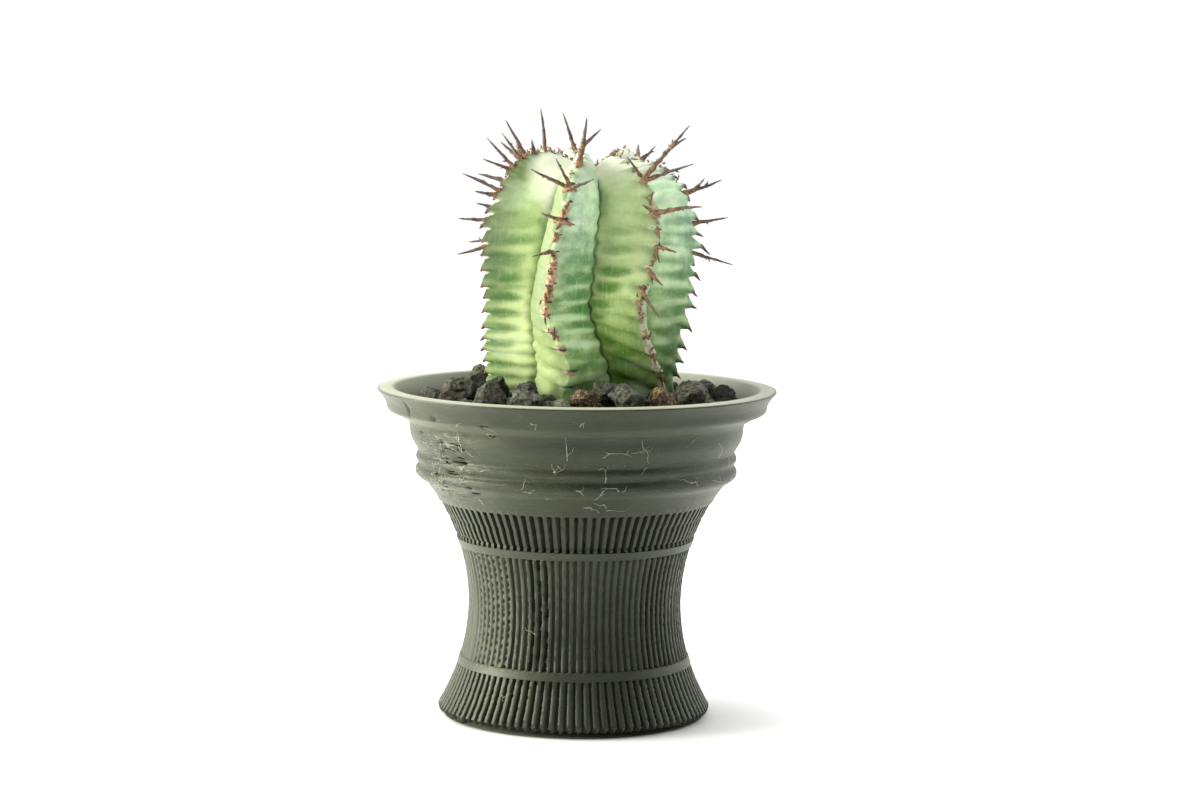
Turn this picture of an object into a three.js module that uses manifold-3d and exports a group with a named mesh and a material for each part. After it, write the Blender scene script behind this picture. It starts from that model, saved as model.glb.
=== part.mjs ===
// A ribbed, spined succulent, the african milk barrel, growing in an hourglass pot under black lava gravel.
// Units are millimetres and +Z is up. The origin is on the pot's axis, on the surface that the pot stands on.
// The front is -Y. An azimuth is an angle about the axis, from the front (0) towards the right (+X).
import * as THREE from 'three';
import { mergeVertices } from 'three/addons/utils/BufferGeometryUtils.js';
import Module from 'manifold-3d';

const wasm = await Module();
wasm.setup();

// Driving dimensions of the pot
const RIM_RADIUS = 41.9;
const RIM_HEIGHT = 69;
const MOUTH_RADIUS = 38.3;
const FOOT_RADIUS = 26.5;
const WALL = 2.5;
const FLOOR = 3;
const DRAIN_RADIUS = 4;
const WAIST_RADIUS = 22.4;
const WAIST_HEIGHT = 24;
const FLARE = 0.013;
const FLUTES = 96;
const FLUTE_DEPTH = 0.45;
const LOWER_BAND = { bottom: 11.2, top: 12.8 };
const UPPER_BAND = { bottom: 36.2, top: 37.7 };
const BOWL_BOTTOM = 45.8;
const COLUMNS = 48;

// Driving dimensions of the filling
const FIT_GAP = 0.3;
const SOIL_TOP = 59;
const GRAVEL_AT_WALL = 64.2;
const GRAVEL_AT_STEM = 68.6;
const STONES = 80;
const STONE_REACH = { inner: 15.5, outer: 35.6 };
const STONE_RADIUS = { smallest: 1.8, largest: 4 };

// Driving dimensions of the stem
const GROUND = 70;
const TOOTH_PITCH = 3;
const TOOTH_REACH = 0.6;
const FOLD_DEPTH = 0.22;
const CREST_HALF_WIDTH = 0.75;
const MID_FACE = 0.5;
const STEM_LEAN = 2;
const SWING_HEIGHT = 18;
const STEM_GAP = 0.5;
const ROOT_RINGS = [
  { radius: 4, height: 50 },
  { radius: 8.5, height: 55 },
  { radius: 13, height: 61 },
];

// Meridians of a rib's crest and of the valley beside it, from below the gravel over the shoulder to the crown
const MERIDIANS = [
  { crest: [18.8, 67], valley: [13.6, 67] },
  { crest: [20.4, 75], valley: [14.6, 75] },
  { crest: [21.6, 84], valley: [15.3, 84] },
  { crest: [22.5, 94], valley: [15.7, 94] },
  { crest: [22.3, 103], valley: [15.3, 103] },
  { crest: [20.3, 111], valley: [13.8, 109.4] },
  { crest: [16.8, 116.4], valley: [11, 112.6] },
  { crest: [11.5, 118.7], valley: [7.4, 114] },
  { crest: [6.5, 117.2], valley: [4.3, 114.2] },
  { crest: [2.6, 114.8], valley: [1.9, 113.9] },
];
const CROWN_HEIGHT = 113.8;

// The ribs in order round the stem. footSwing turns a rib at the gravel and crownSwing turns it at the crown.
// reach and drop say how much further out its crest runs, and how much lower at the crown, than the meridian.
const RIBS = {
  left: { azimuth: -82, footSwing: 0, crownSwing: 0, reach: -0.5, drop: 0 },
  frontLeft: { azimuth: -25, footSwing: 20, crownSwing: 14, reach: 0, drop: 0 },
  frontRight: { azimuth: 31, footSwing: 31, crownSwing: 0, reach: 0.2, drop: 0.6 },
  right: { azimuth: 89, footSwing: 14, crownSwing: -3, reach: -0.6, drop: 1.5 },
  backRight: { azimuth: 142, footSwing: 12, crownSwing: 0, reach: 0, drop: 0 },
  back: { azimuth: 196, footSwing: 6, crownSwing: 0, reach: 0.1, drop: 0 },
  backLeft: { azimuth: 238, footSwing: 4, crownSwing: 2, reach: -0.1, drop: 0 },
};
const CROWN_DROP = { from: 40, to: 50 };

// What the plant's own growth adds, as pairs of a climb and an amount. A climb is a distance in millimetres along
// a rib's crest from the gravel. First, how far the crests of the two front ribs sway sideways, in degrees.
const SWAYS = {
  frontLeft: [
    [-3, -5], [0, -4], [5, 3.5], [9, 3], [12, 2.7], [16, 1.5], [19, 2.3], [22, 4.5],
    [26, 5.6], [30, 6.4], [34, 8], [38, 10.5], [41.5, 9.5], [46, 6.5], [49, 5.5], [54, 3],
  ],
  frontRight: [
    [-3, 3], [0, 2], [4, -5], [8, -6.5], [12, -3.8], [16, -1.5], [19, -3.5], [22, -0.5],
    [26, 2.9], [30, 6.7], [34.5, 7], [40, 6.5], [43, 7], [45, 4.5], [50, 0],
  ],
};

// How much further out the crests of the two side ribs reach, in millimetres
const REACHES = {
  left: [[30, 0], [36, -0.3], [42, -1.3], [50, -1.2]],
  right: [[-3, 2], [4, 1.6], [10, 0.3], [24, 0], [32, 0.6], [37, 0.7], [42, 0.2], [48, -0.6], [54, -0.6]],
};

// Where the valley after a rib lies between its crest (0) and the next one (1)
const VALLEY_SHARES = {
  left: [[10, 0.6], [20, 0.62], [32, 0.76]],
  frontLeft: [[14, 0.5], [30, 0.42]],
  frontRight: [[0, 0.36]],
};

// Random numbers that come out the same every time
function seededRandom(seed) {
  let state = seed;
  return () => {
    state = (state * 1664525 + 1013904223) % 4294967296;
    return state / 4294967296;
  };
}

// Point at an azimuth in radians, a radius and a height
function polar(azimuth, radius, height) {
  return new THREE.Vector3(radius * Math.sin(azimuth), -radius * Math.cos(azimuth), height);
}

// Level ring of points. Its radius may be a number or a rule of the point's number.
function ring(count, radius, height) {
  const radiusOf = typeof radius === 'function' ? radius : () => radius;
  return Array.from({ length: count }, (_, i) => polar((i / count) * 2 * Math.PI, radiusOf(i), height));
}

// Closed skin over a stack of rings, in which neighbours may differ in their number of points.
// The stack ends in single points, or its last ring is joined to its first one.
function skin(rings, joinEnds = false) {
  const starts = [];
  const points = [];
  for (const loop of rings) {
    starts.push(points.length);
    points.push(...loop);
  }
  const triangles = [];
  const pairs = joinEnds ? rings.length : rings.length - 1;
  for (let level = 0; level < pairs; level += 1) {
    const next = (level + 1) % rings.length;
    const [nLow, nHigh] = [rings[level].length, rings[next].length];
    const low = (i) => starts[level] + (i % nLow);
    const high = (j) => starts[next] + (j % nHigh);
    const stepsLow = nLow > 1 ? nLow : 0;
    const stepsHigh = nHigh > 1 ? nHigh : 0;
    let i = 0;
    let j = 0;
    while (i < stepsLow || j < stepsHigh) {
      const lowIsNext = j >= stepsHigh || (i < stepsLow && (i + 1) / nLow <= (j + 1) / nHigh);
      triangles.push(low(i), lowIsNext ? low(i + 1) : high(j + 1), high(j));
      if (lowIsNext) i += 1;
      else j += 1;
    }
  }
  const geometry = new THREE.BufferGeometry().setFromPoints(points);
  geometry.setIndex(triangles);
  return geometry;
}

// Solid for joining and cutting, from a closed geometry
function toSolid(geometry) {
  geometry.deleteAttribute('normal');
  geometry.deleteAttribute('uv');
  const closed = mergeVertices(geometry, 1e-4);
  const vertProperties = closed.getAttribute('position').array;
  const triVerts = new Uint32Array(closed.index.array);
  return new wasm.Manifold(new wasm.Mesh({ numProp: 3, vertProperties, triVerts }));
}

function toGeometry(solid) {
  const mesh = solid.getMesh();
  const geometry = new THREE.BufferGeometry();
  geometry.setAttribute('position', new THREE.BufferAttribute(mesh.vertProperties, 3));
  geometry.setIndex(new THREE.BufferAttribute(mesh.triVerts, 1));
  return geometry;
}

function joined(solids) {
  return solids.reduce((whole, piece) => whole.add(piece));
}

// Solid of revolution from [radius, height] corners that start and end on the axis
function turned(corners) {
  const profile = corners.map(([radius, height]) => new THREE.Vector2(radius, height));
  return toSolid(new THREE.LatheGeometry(profile, COLUMNS).rotateX(Math.PI / 2));
}

// Pot: an hourglass foot and a beaded bowl with a flared rim

function hourglass(height) {
  return WAIST_RADIUS + FLARE * (height - WAIST_HEIGHT) ** 2;
}

// Ring of upright flutes: every second point lies in a groove
function flutedRing(height, radius = hourglass(height)) {
  return ring(2 * FLUTES, (i) => radius - (i % 2) * FLUTE_DEPTH, height);
}

// Fluted stretch of the hourglass between two heights, ending a little short of the smooth bands
function flutedZone(bottom, top, steps) {
  const shoulder = 0.15;
  const low = bottom + shoulder;
  const run = top - bottom - 2 * shoulder;
  return Array.from({ length: steps + 1 }, (_, k) => flutedRing(low + (run * k) / steps));
}

function smoothBand({ bottom, top }) {
  const proud = 0.15;
  return [bottom, top].map((height) => ring(COLUMNS, hourglass(height) + proud, height));
}

// Inner wall of the pot, from the mouth down to the floor
const INSIDE = [
  [MOUTH_RADIUS, RIM_HEIGHT + 0.3],
  [37.4, 65],
  [34.2, 62],
  [30.9, 56],
  [hourglass(48) - WALL, 48],
  [hourglass(39) - WALL, 39],
  [hourglass(31) - WALL, 31],
  [hourglass(WAIST_HEIGHT) - WALL, WAIST_HEIGHT],
  [hourglass(15) - WALL, 15],
  [hourglass(8) - WALL, 8],
  [hourglass(FLOOR) - WALL, FLOOR],
];

// Bowl above the flutes: shoulder, lower bead, groove, upper bead, neck, chamfer, upright band and lip
const BOWL = [
  [28.9, BOWL_BOTTOM],
  [30.6, 48.6],
  [32.1, 50.2],
  [33.6, 51.7],
  [33.1, 53.6],
  [33.5, 54.8],
  [33.2, 56.1],
  [34.8, 60.4],
  [36.4, 63],
  [39.6, 64.8],
  [40, 66.5],
  [RIM_RADIUS, RIM_HEIGHT],
];

function potGeometry() {
  const outside = [
    ring(COLUMNS, FOOT_RADIUS, 0),
    flutedRing(0.6, 27.9),
    ...flutedZone(2.15, LOWER_BAND.bottom, 2),
    ...smoothBand(LOWER_BAND),
    ...flutedZone(LOWER_BAND.top, UPPER_BAND.bottom, 4),
    ...smoothBand(UPPER_BAND),
    ...flutedZone(UPPER_BAND.top, BOWL_BOTTOM, 2),
    ...BOWL.map(([radius, height]) => ring(COLUMNS, radius, height)),
  ];
  const inside = INSIDE.map(([radius, height]) => ring(COLUMNS, radius, height));
  const drain = [FLOOR, 0].map((height) => ring(COLUMNS / 3, DRAIN_RADIUS, height));
  return skin([...outside, ...inside, ...drain], true);
}

// Stem: seven wavy ribs with toothed crests

const CREST_CURVE = new THREE.SplineCurve(MERIDIANS.map(({ crest }) => new THREE.Vector2(...crest)));
const VALLEY_CURVE = new THREE.SplineCurve(MERIDIANS.map(({ valley }) => new THREE.Vector2(...valley)));
const CREST_LENGTH = CREST_CURVE.getLength();
const CREST_ROWS = 2 * Math.round(CREST_LENGTH / TOOTH_PITCH);
const BELOW_GROUND = GROUND - MERIDIANS[0].crest[1];

// How far the stem's axis stands to the right of the pot's axis
function leanAt(height) {
  return STEM_LEAN * THREE.MathUtils.smoothstep(height, GROUND - 2, GROUND + 20);
}

// Amount at a climb, on straight lines between a table's pairs
function readOff(pairs, climb) {
  const next = pairs.findIndex(([from]) => from > climb);
  if (next < 1) return pairs.at(next)[1];
  const [[low, atLow], [high, atHigh]] = [pairs[next - 1], pairs[next]];
  return THREE.MathUtils.mapLinear(climb, low, high, atLow, atHigh);
}

// Share of the meridian passed at a climb, from 0 below the gravel to 1 at the crown
function progressAt(climb) {
  return CREST_CURVE.getUtoTmapping(THREE.MathUtils.clamp((climb + BELOW_GROUND) / CREST_LENGTH, 0, 1));
}

// A rib's crest at a climb: its azimuth in radians, how far out it reaches and how much lower it lies
function crestAt(name, climb) {
  const { azimuth, footSwing, crownSwing, reach, drop } = RIBS[name];
  const progress = progressAt(climb);
  const { y: height } = CREST_CURVE.getPoint(progress);
  const foot = footSwing * (1 - THREE.MathUtils.smoothstep(height, GROUND, GROUND + SWING_HEIGHT));
  const crown = crownSwing * THREE.MathUtils.clamp((progress - 0.4) / 0.3, 0, 1) ** 2;
  const sway = readOff(SWAYS[name] ?? [[0, 0]], climb);
  return {
    azimuth: THREE.MathUtils.degToRad(azimuth + foot + crown + sway),
    reach: reach + readOff(REACHES[name] ?? [[0, 0]], climb),
    drop: drop * THREE.MathUtils.smoothstep(climb, CROWN_DROP.from, CROWN_DROP.to),
  };
}

// One ring round the ribs. Each rib gives a crest two points wide, a point on each face, and a valley.
function ribbedRing(climb, relief, grow) {
  const progress = progressAt(climb);
  const crest = CREST_CURVE.getPoint(progress);
  const valley = VALLEY_CURVE.getPoint(progress);
  const names = Object.keys(RIBS);
  const points = [];
  const place = (azimuth, share, reach, drop) => {
    const radius = THREE.MathUtils.lerp(crest.x, valley.x, share) + reach + grow;
    const height = THREE.MathUtils.lerp(crest.y - drop, valley.y, share);
    points.push(polar(azimuth, radius, height).add(new THREE.Vector3(leanAt(height), 0, 0)));
  };
  const tooth = TOOTH_REACH * relief;
  const fold = FOLD_DEPTH * relief;
  names.forEach((name, i) => {
    const rib = crestAt(name, climb);
    const following = crestAt(names[(i + 1) % names.length], climb);
    const turn = i + 1 === names.length ? 2 * Math.PI : 0;
    const here = rib.azimuth;
    const there = following.azimuth + turn;
    const between = THREE.MathUtils.lerp(here, there, readOff(VALLEY_SHARES[name] ?? [[0, 0.5]], climb));
    const halfWidth = Math.min(CREST_HALF_WIDTH / crest.x, 0.15 * (there - here));
    const [after, before] = [here + halfWidth, there - halfWidth];
    if (i === 0) place(here - halfWidth, 0, rib.reach + tooth, rib.drop);
    place(after, 0, rib.reach + tooth, rib.drop);
    place(THREE.MathUtils.lerp(after, between, MID_FACE), MID_FACE, rib.reach + fold, rib.drop);
    place(between, 1, 0, 0);
    place(THREE.MathUtils.lerp(before, between, MID_FACE), MID_FACE, following.reach + fold, following.drop);
    if (i + 1 < names.length) place(before, 0, following.reach + tooth, following.drop);
  });
  return points;
}

// Round ring of the root neck, with its points in line with those of the lowest ribbed ring
function rootRing({ radius, height }, grow) {
  return ribbedRing(-BELOW_GROUND, 0, 0).map((point) => polar(Math.atan2(point.x, -point.y), radius + grow, height));
}

// Root neck from its tip up to just below the gravel, optionally grown on all sides
function rootRings(grow) {
  const tip = [new THREE.Vector3(0, 0, ROOT_RINGS[0].height - 1 - grow)];
  return [tip, ...ROOT_RINGS.map((level) => rootRing(level, grow))];
}

// Stem without its spines
function stemBody() {
  const rows = Array.from({ length: CREST_ROWS + 1 }, (_, row) => {
    return ribbedRing((row / CREST_ROWS) * CREST_LENGTH - BELOW_GROUND, row % 2, 0);
  });
  const crown = [new THREE.Vector3(STEM_LEAN, 0, CROWN_HEIGHT)];
  return toSolid(skin([...rootRings(0), ...rows, crown]));
}

// Space that the stem's foot takes in the filling, with a gap all round
function stemHole() {
  const rows = [-BELOW_GROUND, 0, 3, 6].map((climb) => ribbedRing(climb, 1, STEM_GAP));
  const top = [new THREE.Vector3(0, 0, rows[rows.length - 1][0].z)];
  return toSolid(skin([...rootRings(STEM_GAP), ...rows, top]));
}

// Point on a rib's crest at a climb
function crestPoint(name, climb) {
  const crest = CREST_CURVE.getPoint(progressAt(climb));
  const { azimuth, reach, drop } = crestAt(name, climb);
  const point = polar(azimuth, crest.x + reach, crest.y - drop);
  return point.add(new THREE.Vector3(leanAt(crest.y), 0, 0));
}

// Tapering spine of four sides from its root, sunk into the rib, to its tip
function spine(root, tip, radius, sunk = 1.4) {
  const along = tip.clone().sub(root);
  const length = along.length();
  const profile = [[0, -sunk], [radius, -sunk], [0, length]];
  const shape = new THREE.LatheGeometry(profile.map((corner) => new THREE.Vector2(...corner)), 4);
  const turn = new THREE.Quaternion().setFromUnitVectors(new THREE.Vector3(0, 1, 0), along.normalize());
  shape.applyQuaternion(turn);
  shape.translate(root.x, root.y, root.z);
  return toSolid(shape);
}

// The spines that show from the front, read off the plant: rib, climb, run from root to tip as [right, back, up],
// and radius at the root. A prong leaves its spine part of the way along.
const FRONT_SPINES = [
  { rib: 'left', climb: 50.2, run: [-4.2, -0.5, 7.4], radius: 0.6 },
  { rib: 'left', climb: 49, run: [-4, 1.5, 5.3], radius: 0.5 },
  { rib: 'left', climb: 46.7, run: [-5.4, 0.5, 5.8], radius: 0.5 },
  { rib: 'left', climb: 46, run: [-5.8, -1, 2.1], radius: 0.45 },
  { rib: 'left', climb: 52, run: [-0.4, -0.8, 2.8], radius: 0.5 },
  { rib: 'left', climb: 41, run: [-7.5, -0.5, 3.4], radius: 0.55 },
  { rib: 'left', climb: 40, run: [-4.4, -1.5, 0.8], radius: 0.6 },
  { rib: 'left', climb: 34.7, run: [-5.8, 0, 0.2], radius: 0.55 },
  { rib: 'left', climb: 29, run: [-5.3, 0, -1.6], radius: 0.45 },
  { rib: 'frontLeft', climb: 48.5, run: [1.5, -0.5, 9.4], radius: 0.85, prong: { at: 0.38, run: [3.8, 0.5, 3.6] } },
  { rib: 'frontLeft', climb: 42.7, run: [-7.9, -2.5, 3.8], radius: 0.6 },
  { rib: 'frontLeft', climb: 43.2, run: [-2.9, -2, 5.5], radius: 0.5 },
  { rib: 'frontLeft', climb: 42.5, run: [5, -2.5, 2.1], radius: 0.55 },
  { rib: 'frontLeft', climb: 35.9, run: [-4, -2.5, 1.5], radius: 0.5 },
  { rib: 'frontLeft', climb: 35.6, run: [2.9, -1.8, -0.6], radius: 0.6 },
  { rib: 'frontLeft', climb: 29.6, run: [-4.2, -2, -1.1], radius: 0.5 },
  { rib: 'frontRight', climb: 45.4, run: [-3.1, -2, 4.3], radius: 0.5 },
  { rib: 'frontRight', climb: 45, run: [9.2, -3, 11.1], radius: 0.8, prong: { at: 0.6, run: [3, -1, 1.9] } },
  { rib: 'frontRight', climb: 44.6, run: [9.8, -2.5, 3.6], radius: 0.6 },
  { rib: 'frontRight', climb: 37.2, run: [9.6, -3, 1.7], radius: 0.65 },
  { rib: 'frontRight', climb: 37.4, run: [-2.5, -2, 1.7], radius: 0.45 },
  { rib: 'frontRight', climb: 30.6, run: [4, -2.5, -1.1], radius: 0.5 },
  { rib: 'frontRight', climb: 25.3, run: [2.7, -2, -2.6], radius: 0.5 },
  { rib: 'frontRight', climb: 21, run: [3.5, -1.5, -4.7], radius: 0.45 },
  { rib: 'frontRight', climb: 56, run: [-0.4, -0.2, 1.2], radius: 0.4 },
  { rib: 'right', climb: 41, run: [7.4, 0, 2.7], radius: 0.6, prong: { at: 0.25, run: [2, 0, 2.2] } },
  { rib: 'right', climb: 34.4, run: [6.9, 0, 1.2], radius: 0.5 },
  { rib: 'right', climb: 28, run: [7.9, 0, -2.3], radius: 0.45 },
  { rib: 'backRight', climb: 47, run: [3.2, 1, 3.8], radius: 0.4 },
  { rib: 'back', climb: 54, run: [-2.5, 0.5, 7.6], radius: 0.55 },
  { rib: 'backLeft', climb: 54.5, run: [-0.9, 1, 8.6], radius: 0.55 },
];

// Clusters of spines on the ribs turned away, level with those in front: ribs and climbs
const BACK_RIBS = ['backRight', 'back', 'backLeft'];
const BACK_CLUSTERS = [24, 30, 36, 42, 48];
const HOOKS = { first: 3, last: 30, length: 1.9, radius: 0.75 };

function runVector([right, back, up]) {
  return new THREE.Vector3(right, back, up);
}

function frontSpines() {
  return FRONT_SPINES.flatMap(({ rib, climb, run, radius, prong }) => {
    const root = crestPoint(rib, climb);
    const tip = root.clone().add(runVector(run));
    const solids = [spine(root, tip, radius)];
    if (prong) {
      const fork = root.clone().lerp(tip, prong.at);
      solids.push(spine(fork, fork.clone().add(runVector(prong.run)), 0.6 * radius, 0.5));
    }
    return solids;
  });
}

// Two spines to a cluster, spread to both sides. They rise near the crown and droop lower down.
function backSpines() {
  const random = seededRandom(7);
  const solids = [];
  for (const name of BACK_RIBS) {
    for (const climb of BACK_CLUSTERS) {
      const root = crestPoint(name, climb);
      const outward = Math.atan2(root.x - STEM_LEAN, -root.y);
      const rise = THREE.MathUtils.degToRad(2.2 * (climb - 32) + 14 * (random() - 0.5));
      for (const side of [-1, 1]) {
        const azimuth = outward + side * (0.35 + 0.5 * random());
        const length = 3 + 4 * random();
        const along = polar(azimuth, Math.cos(rise), Math.sin(rise)).multiplyScalar(length);
        solids.push(spine(root, root.clone().add(along), 0.45 + 0.2 * random()));
      }
    }
  }
  return solids;
}

// Short thick hooks that point out and down from every second tooth of the older, lower part of each rib
function hooks() {
  const solids = [];
  for (const name of Object.keys(RIBS)) {
    for (let climb = HOOKS.first; climb <= HOOKS.last; climb += 2 * TOOTH_PITCH) {
      const root = crestPoint(name, climb);
      const outward = Math.atan2(root.x - leanAt(root.z), -root.y);
      const along = polar(outward, 0.85, -0.5).multiplyScalar(HOOKS.length);
      solids.push(spine(root, root.clone().add(along), HOOKS.radius));
    }
  }
  return solids;
}

function stemGeometry() {
  return toGeometry(joined([stemBody(), ...frontSpines(), ...backSpines(), ...hooks()]));
}

// Filling: potting soil below, a bed of gravel above, both with the hole that the stem stands in

// Inner wall of the pot below a height, drawn in by the fit gap, as [radius, height] from the floor up
function wallUpTo(top) {
  const below = INSIDE.filter(([, height]) => height < top).reverse();
  const above = INSIDE.findLast(([, height]) => height >= top);
  const last = below[below.length - 1];
  const share = (top - last[1]) / (above[1] - last[1]);
  return [...below, [THREE.MathUtils.lerp(last[0], above[0], share), top]].map(([radius, height]) => [
    radius - FIT_GAP,
    height,
  ]);
}

function soilGeometry() {
  const wall = wallUpTo(SOIL_TOP);
  wall[0][1] += FIT_GAP;
  const body = turned([[0, wall[0][1]], ...wall, [0, SOIL_TOP]]);
  return toGeometry(body.subtract(stemHole()));
}

// Height of the gravel's surface, which falls from the stem to the wall
function gravelHeight(radius) {
  const share = THREE.MathUtils.clamp((radius - 18) / 19, 0, 1);
  return THREE.MathUtils.lerp(GRAVEL_AT_STEM, GRAVEL_AT_WALL, share ** 1.3);
}

// Angular chunk of lava: a block with its corners pushed in and out, then squashed and turned
function stone(random, radius, centre) {
  const shape = new THREE.BoxGeometry(1.5 * radius, 1.5 * radius, 1.5 * radius);
  shape.deleteAttribute('normal');
  shape.deleteAttribute('uv');
  const chunk = mergeVertices(shape, 1e-4);
  const corners = chunk.getAttribute('position');
  for (let i = 0; i < corners.count; i += 1) {
    const corner = new THREE.Vector3().fromBufferAttribute(corners, i).multiplyScalar(0.65 + 0.6 * random());
    corners.setXYZ(i, corner.x, corner.y, corner.z);
  }
  chunk.scale(1.15, 0.95, 0.75 + 0.2 * random());
  chunk.rotateX(0.9 * (random() - 0.5));
  chunk.rotateY(0.9 * (random() - 0.5));
  chunk.rotateZ(2 * Math.PI * random());
  chunk.translate(centre.x, centre.y, centre.z);
  return toSolid(chunk);
}

// Radius of the stem at the gravel, at an azimuth
function stemRadiusAt(azimuth) {
  const loop = ribbedRing(-1, 0, 0);
  const wrap = (angle) => Math.atan2(Math.sin(angle), Math.cos(angle));
  const distance = (point) => Math.abs(wrap(Math.atan2(point.x, -point.y) - azimuth));
  const nearest = loop.reduce((best, point) => (distance(point) < distance(best) ? point : best));
  return Math.hypot(nearest.x, nearest.y);
}

// Stones spread evenly by the golden angle, small among large, and none inside the stem
function stones() {
  const random = seededRandom(31);
  const goldenAngle = Math.PI * (3 - Math.sqrt(5));
  const { inner, outer } = STONE_REACH;
  const solids = [];
  for (let i = 0; i < STONES; i += 1) {
    const share = (i + 0.5) / STONES;
    const distance = Math.sqrt(THREE.MathUtils.lerp(inner ** 2, outer ** 2, share)) + (random() - 0.5);
    const azimuth = i * goldenAngle + 0.1 * (random() - 0.5);
    const radius = THREE.MathUtils.lerp(STONE_RADIUS.smallest, STONE_RADIUS.largest, random() ** 1.6);
    const height = gravelHeight(distance) + 0.1 * radius;
    if (distance > stemRadiusAt(azimuth) + 0.6 * radius) {
      solids.push(stone(random, radius, polar(azimuth, distance, height)));
    }
  }
  return solids;
}

function gravelGeometry() {
  const bottom = SOIL_TOP + FIT_GAP;
  const wall = wallUpTo(GRAVEL_AT_WALL).filter(([, height]) => height > bottom);
  const foot = wallUpTo(bottom).pop();
  const wallTop = wall[wall.length - 1];
  const surface = [30, 24, 18].map((radius) => [radius, gravelHeight(radius)]);
  const bed = turned([[0, bottom], foot, ...wall, ...surface, [0, GRAVEL_AT_STEM]]);
  const space = turned([
    [0, bottom],
    foot,
    ...wall,
    [MOUTH_RADIUS - FIT_GAP - 0.9, wallTop[1] + 1],
    [MOUTH_RADIUS - FIT_GAP, RIM_HEIGHT + 8],
    [0, RIM_HEIGHT + 8],
  ]);
  return toGeometry(joined([bed, ...stones()]).intersect(space).subtract(stemHole()));
}

// The object's pieces, each with the colour and finish that it shows
const PIECES = [
  { name: 'pot', geometry: potGeometry(), color: 0x3d3c36, roughness: 0.75 },
  { name: 'soil', geometry: soilGeometry(), color: 0x33261c, roughness: 0.95 },
  { name: 'gravel', geometry: gravelGeometry(), color: 0x26231f, roughness: 0.9 },
  { name: 'stem', geometry: stemGeometry(), color: 0x9dba8a, roughness: 0.7 },
];

const group = new THREE.Group();
for (const { name, geometry, color, roughness } of PIECES) {
  const piece = new THREE.Mesh(geometry, new THREE.MeshStandardMaterial({ color, roughness, metalness: 0 }));
  piece.name = name;
  group.add(piece);
}

export default group;
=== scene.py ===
# %% [markdown]
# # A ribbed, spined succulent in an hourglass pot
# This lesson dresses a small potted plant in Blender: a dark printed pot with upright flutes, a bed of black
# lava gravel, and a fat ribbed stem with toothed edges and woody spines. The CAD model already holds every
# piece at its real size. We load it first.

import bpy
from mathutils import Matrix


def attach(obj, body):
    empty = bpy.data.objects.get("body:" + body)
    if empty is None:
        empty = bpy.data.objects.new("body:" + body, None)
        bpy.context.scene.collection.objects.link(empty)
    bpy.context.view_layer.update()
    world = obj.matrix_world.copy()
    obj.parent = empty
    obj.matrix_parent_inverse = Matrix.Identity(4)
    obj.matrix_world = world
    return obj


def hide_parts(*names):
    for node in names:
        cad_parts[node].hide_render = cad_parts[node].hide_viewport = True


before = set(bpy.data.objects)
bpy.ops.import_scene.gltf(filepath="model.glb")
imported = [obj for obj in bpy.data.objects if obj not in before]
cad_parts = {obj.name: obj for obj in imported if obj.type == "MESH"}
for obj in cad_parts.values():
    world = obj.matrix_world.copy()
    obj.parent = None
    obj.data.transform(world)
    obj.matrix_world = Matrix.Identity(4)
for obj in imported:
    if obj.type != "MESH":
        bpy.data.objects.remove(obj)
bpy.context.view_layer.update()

# %% Tools that every cell uses
import math
from dataclasses import dataclass

import bmesh
import bpy
import numpy as np
from mathutils import Matrix, Vector

MM = 0.001
TURN = 2 * math.pi
scene = bpy.context.scene


def smoothstep(values, low, high):
    share = np.clip((np.asarray(values, float) - low) / (high - low), 0, 1)
    return share * share * (3 - 2 * share)


def mix(start, end, share):
    return start + (end - start) * share


def hump(values, middle, width):
    """Bell curve that is 1 at the middle."""
    return np.exp(-(((values - middle) / width) ** 2))


def window(values, low, high, soft):
    """1 between low and high, falling to 0 over a soft distance outside."""
    return smoothstep(values, low - soft, low) * (1 - smoothstep(values, high, high + soft))


def polar(azimuth, radius, height):
    """Point in millimetres. The azimuth, in radians, runs from the front (-Y) towards the right (+X)."""
    parts = np.broadcast_arrays(radius * np.sin(azimuth), -radius * np.cos(azimuth), height)
    return np.stack(parts, axis=-1)


def ripple(points, wavelength, seed, waves=7):
    """Smooth random field between about -1 and 1, made of a few plane waves in random directions."""
    random = np.random.default_rng(seed)
    total = np.zeros(np.shape(points)[:-1])
    for _ in range(waves):
        direction = random.normal(size=3)
        direction *= TURN / (wavelength * np.linalg.norm(direction) * random.uniform(0.7, 1.4))
        total += np.sin(points @ direction + random.uniform(0, TURN))
    return total / math.sqrt(waves)


# %% [markdown]
# ## Camera
# The photograph looks at the pot from a little above its rim, through a long lens. The camera comes first, so
# that every later step can be judged from the same place. It stands 73 cm in front of the pot's axis, looks 6
# degrees down, and leans under a degree to one side, as a hand-levelled tripod does.

# %% Place the camera
CAMERA_PLACE = Vector((0, -0.730, 0.1465))
CAMERA_PITCH = math.radians(6.25)
CAMERA_YAW = math.radians(0.38)
CAMERA_ROLL = math.radians(0.7)

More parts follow.
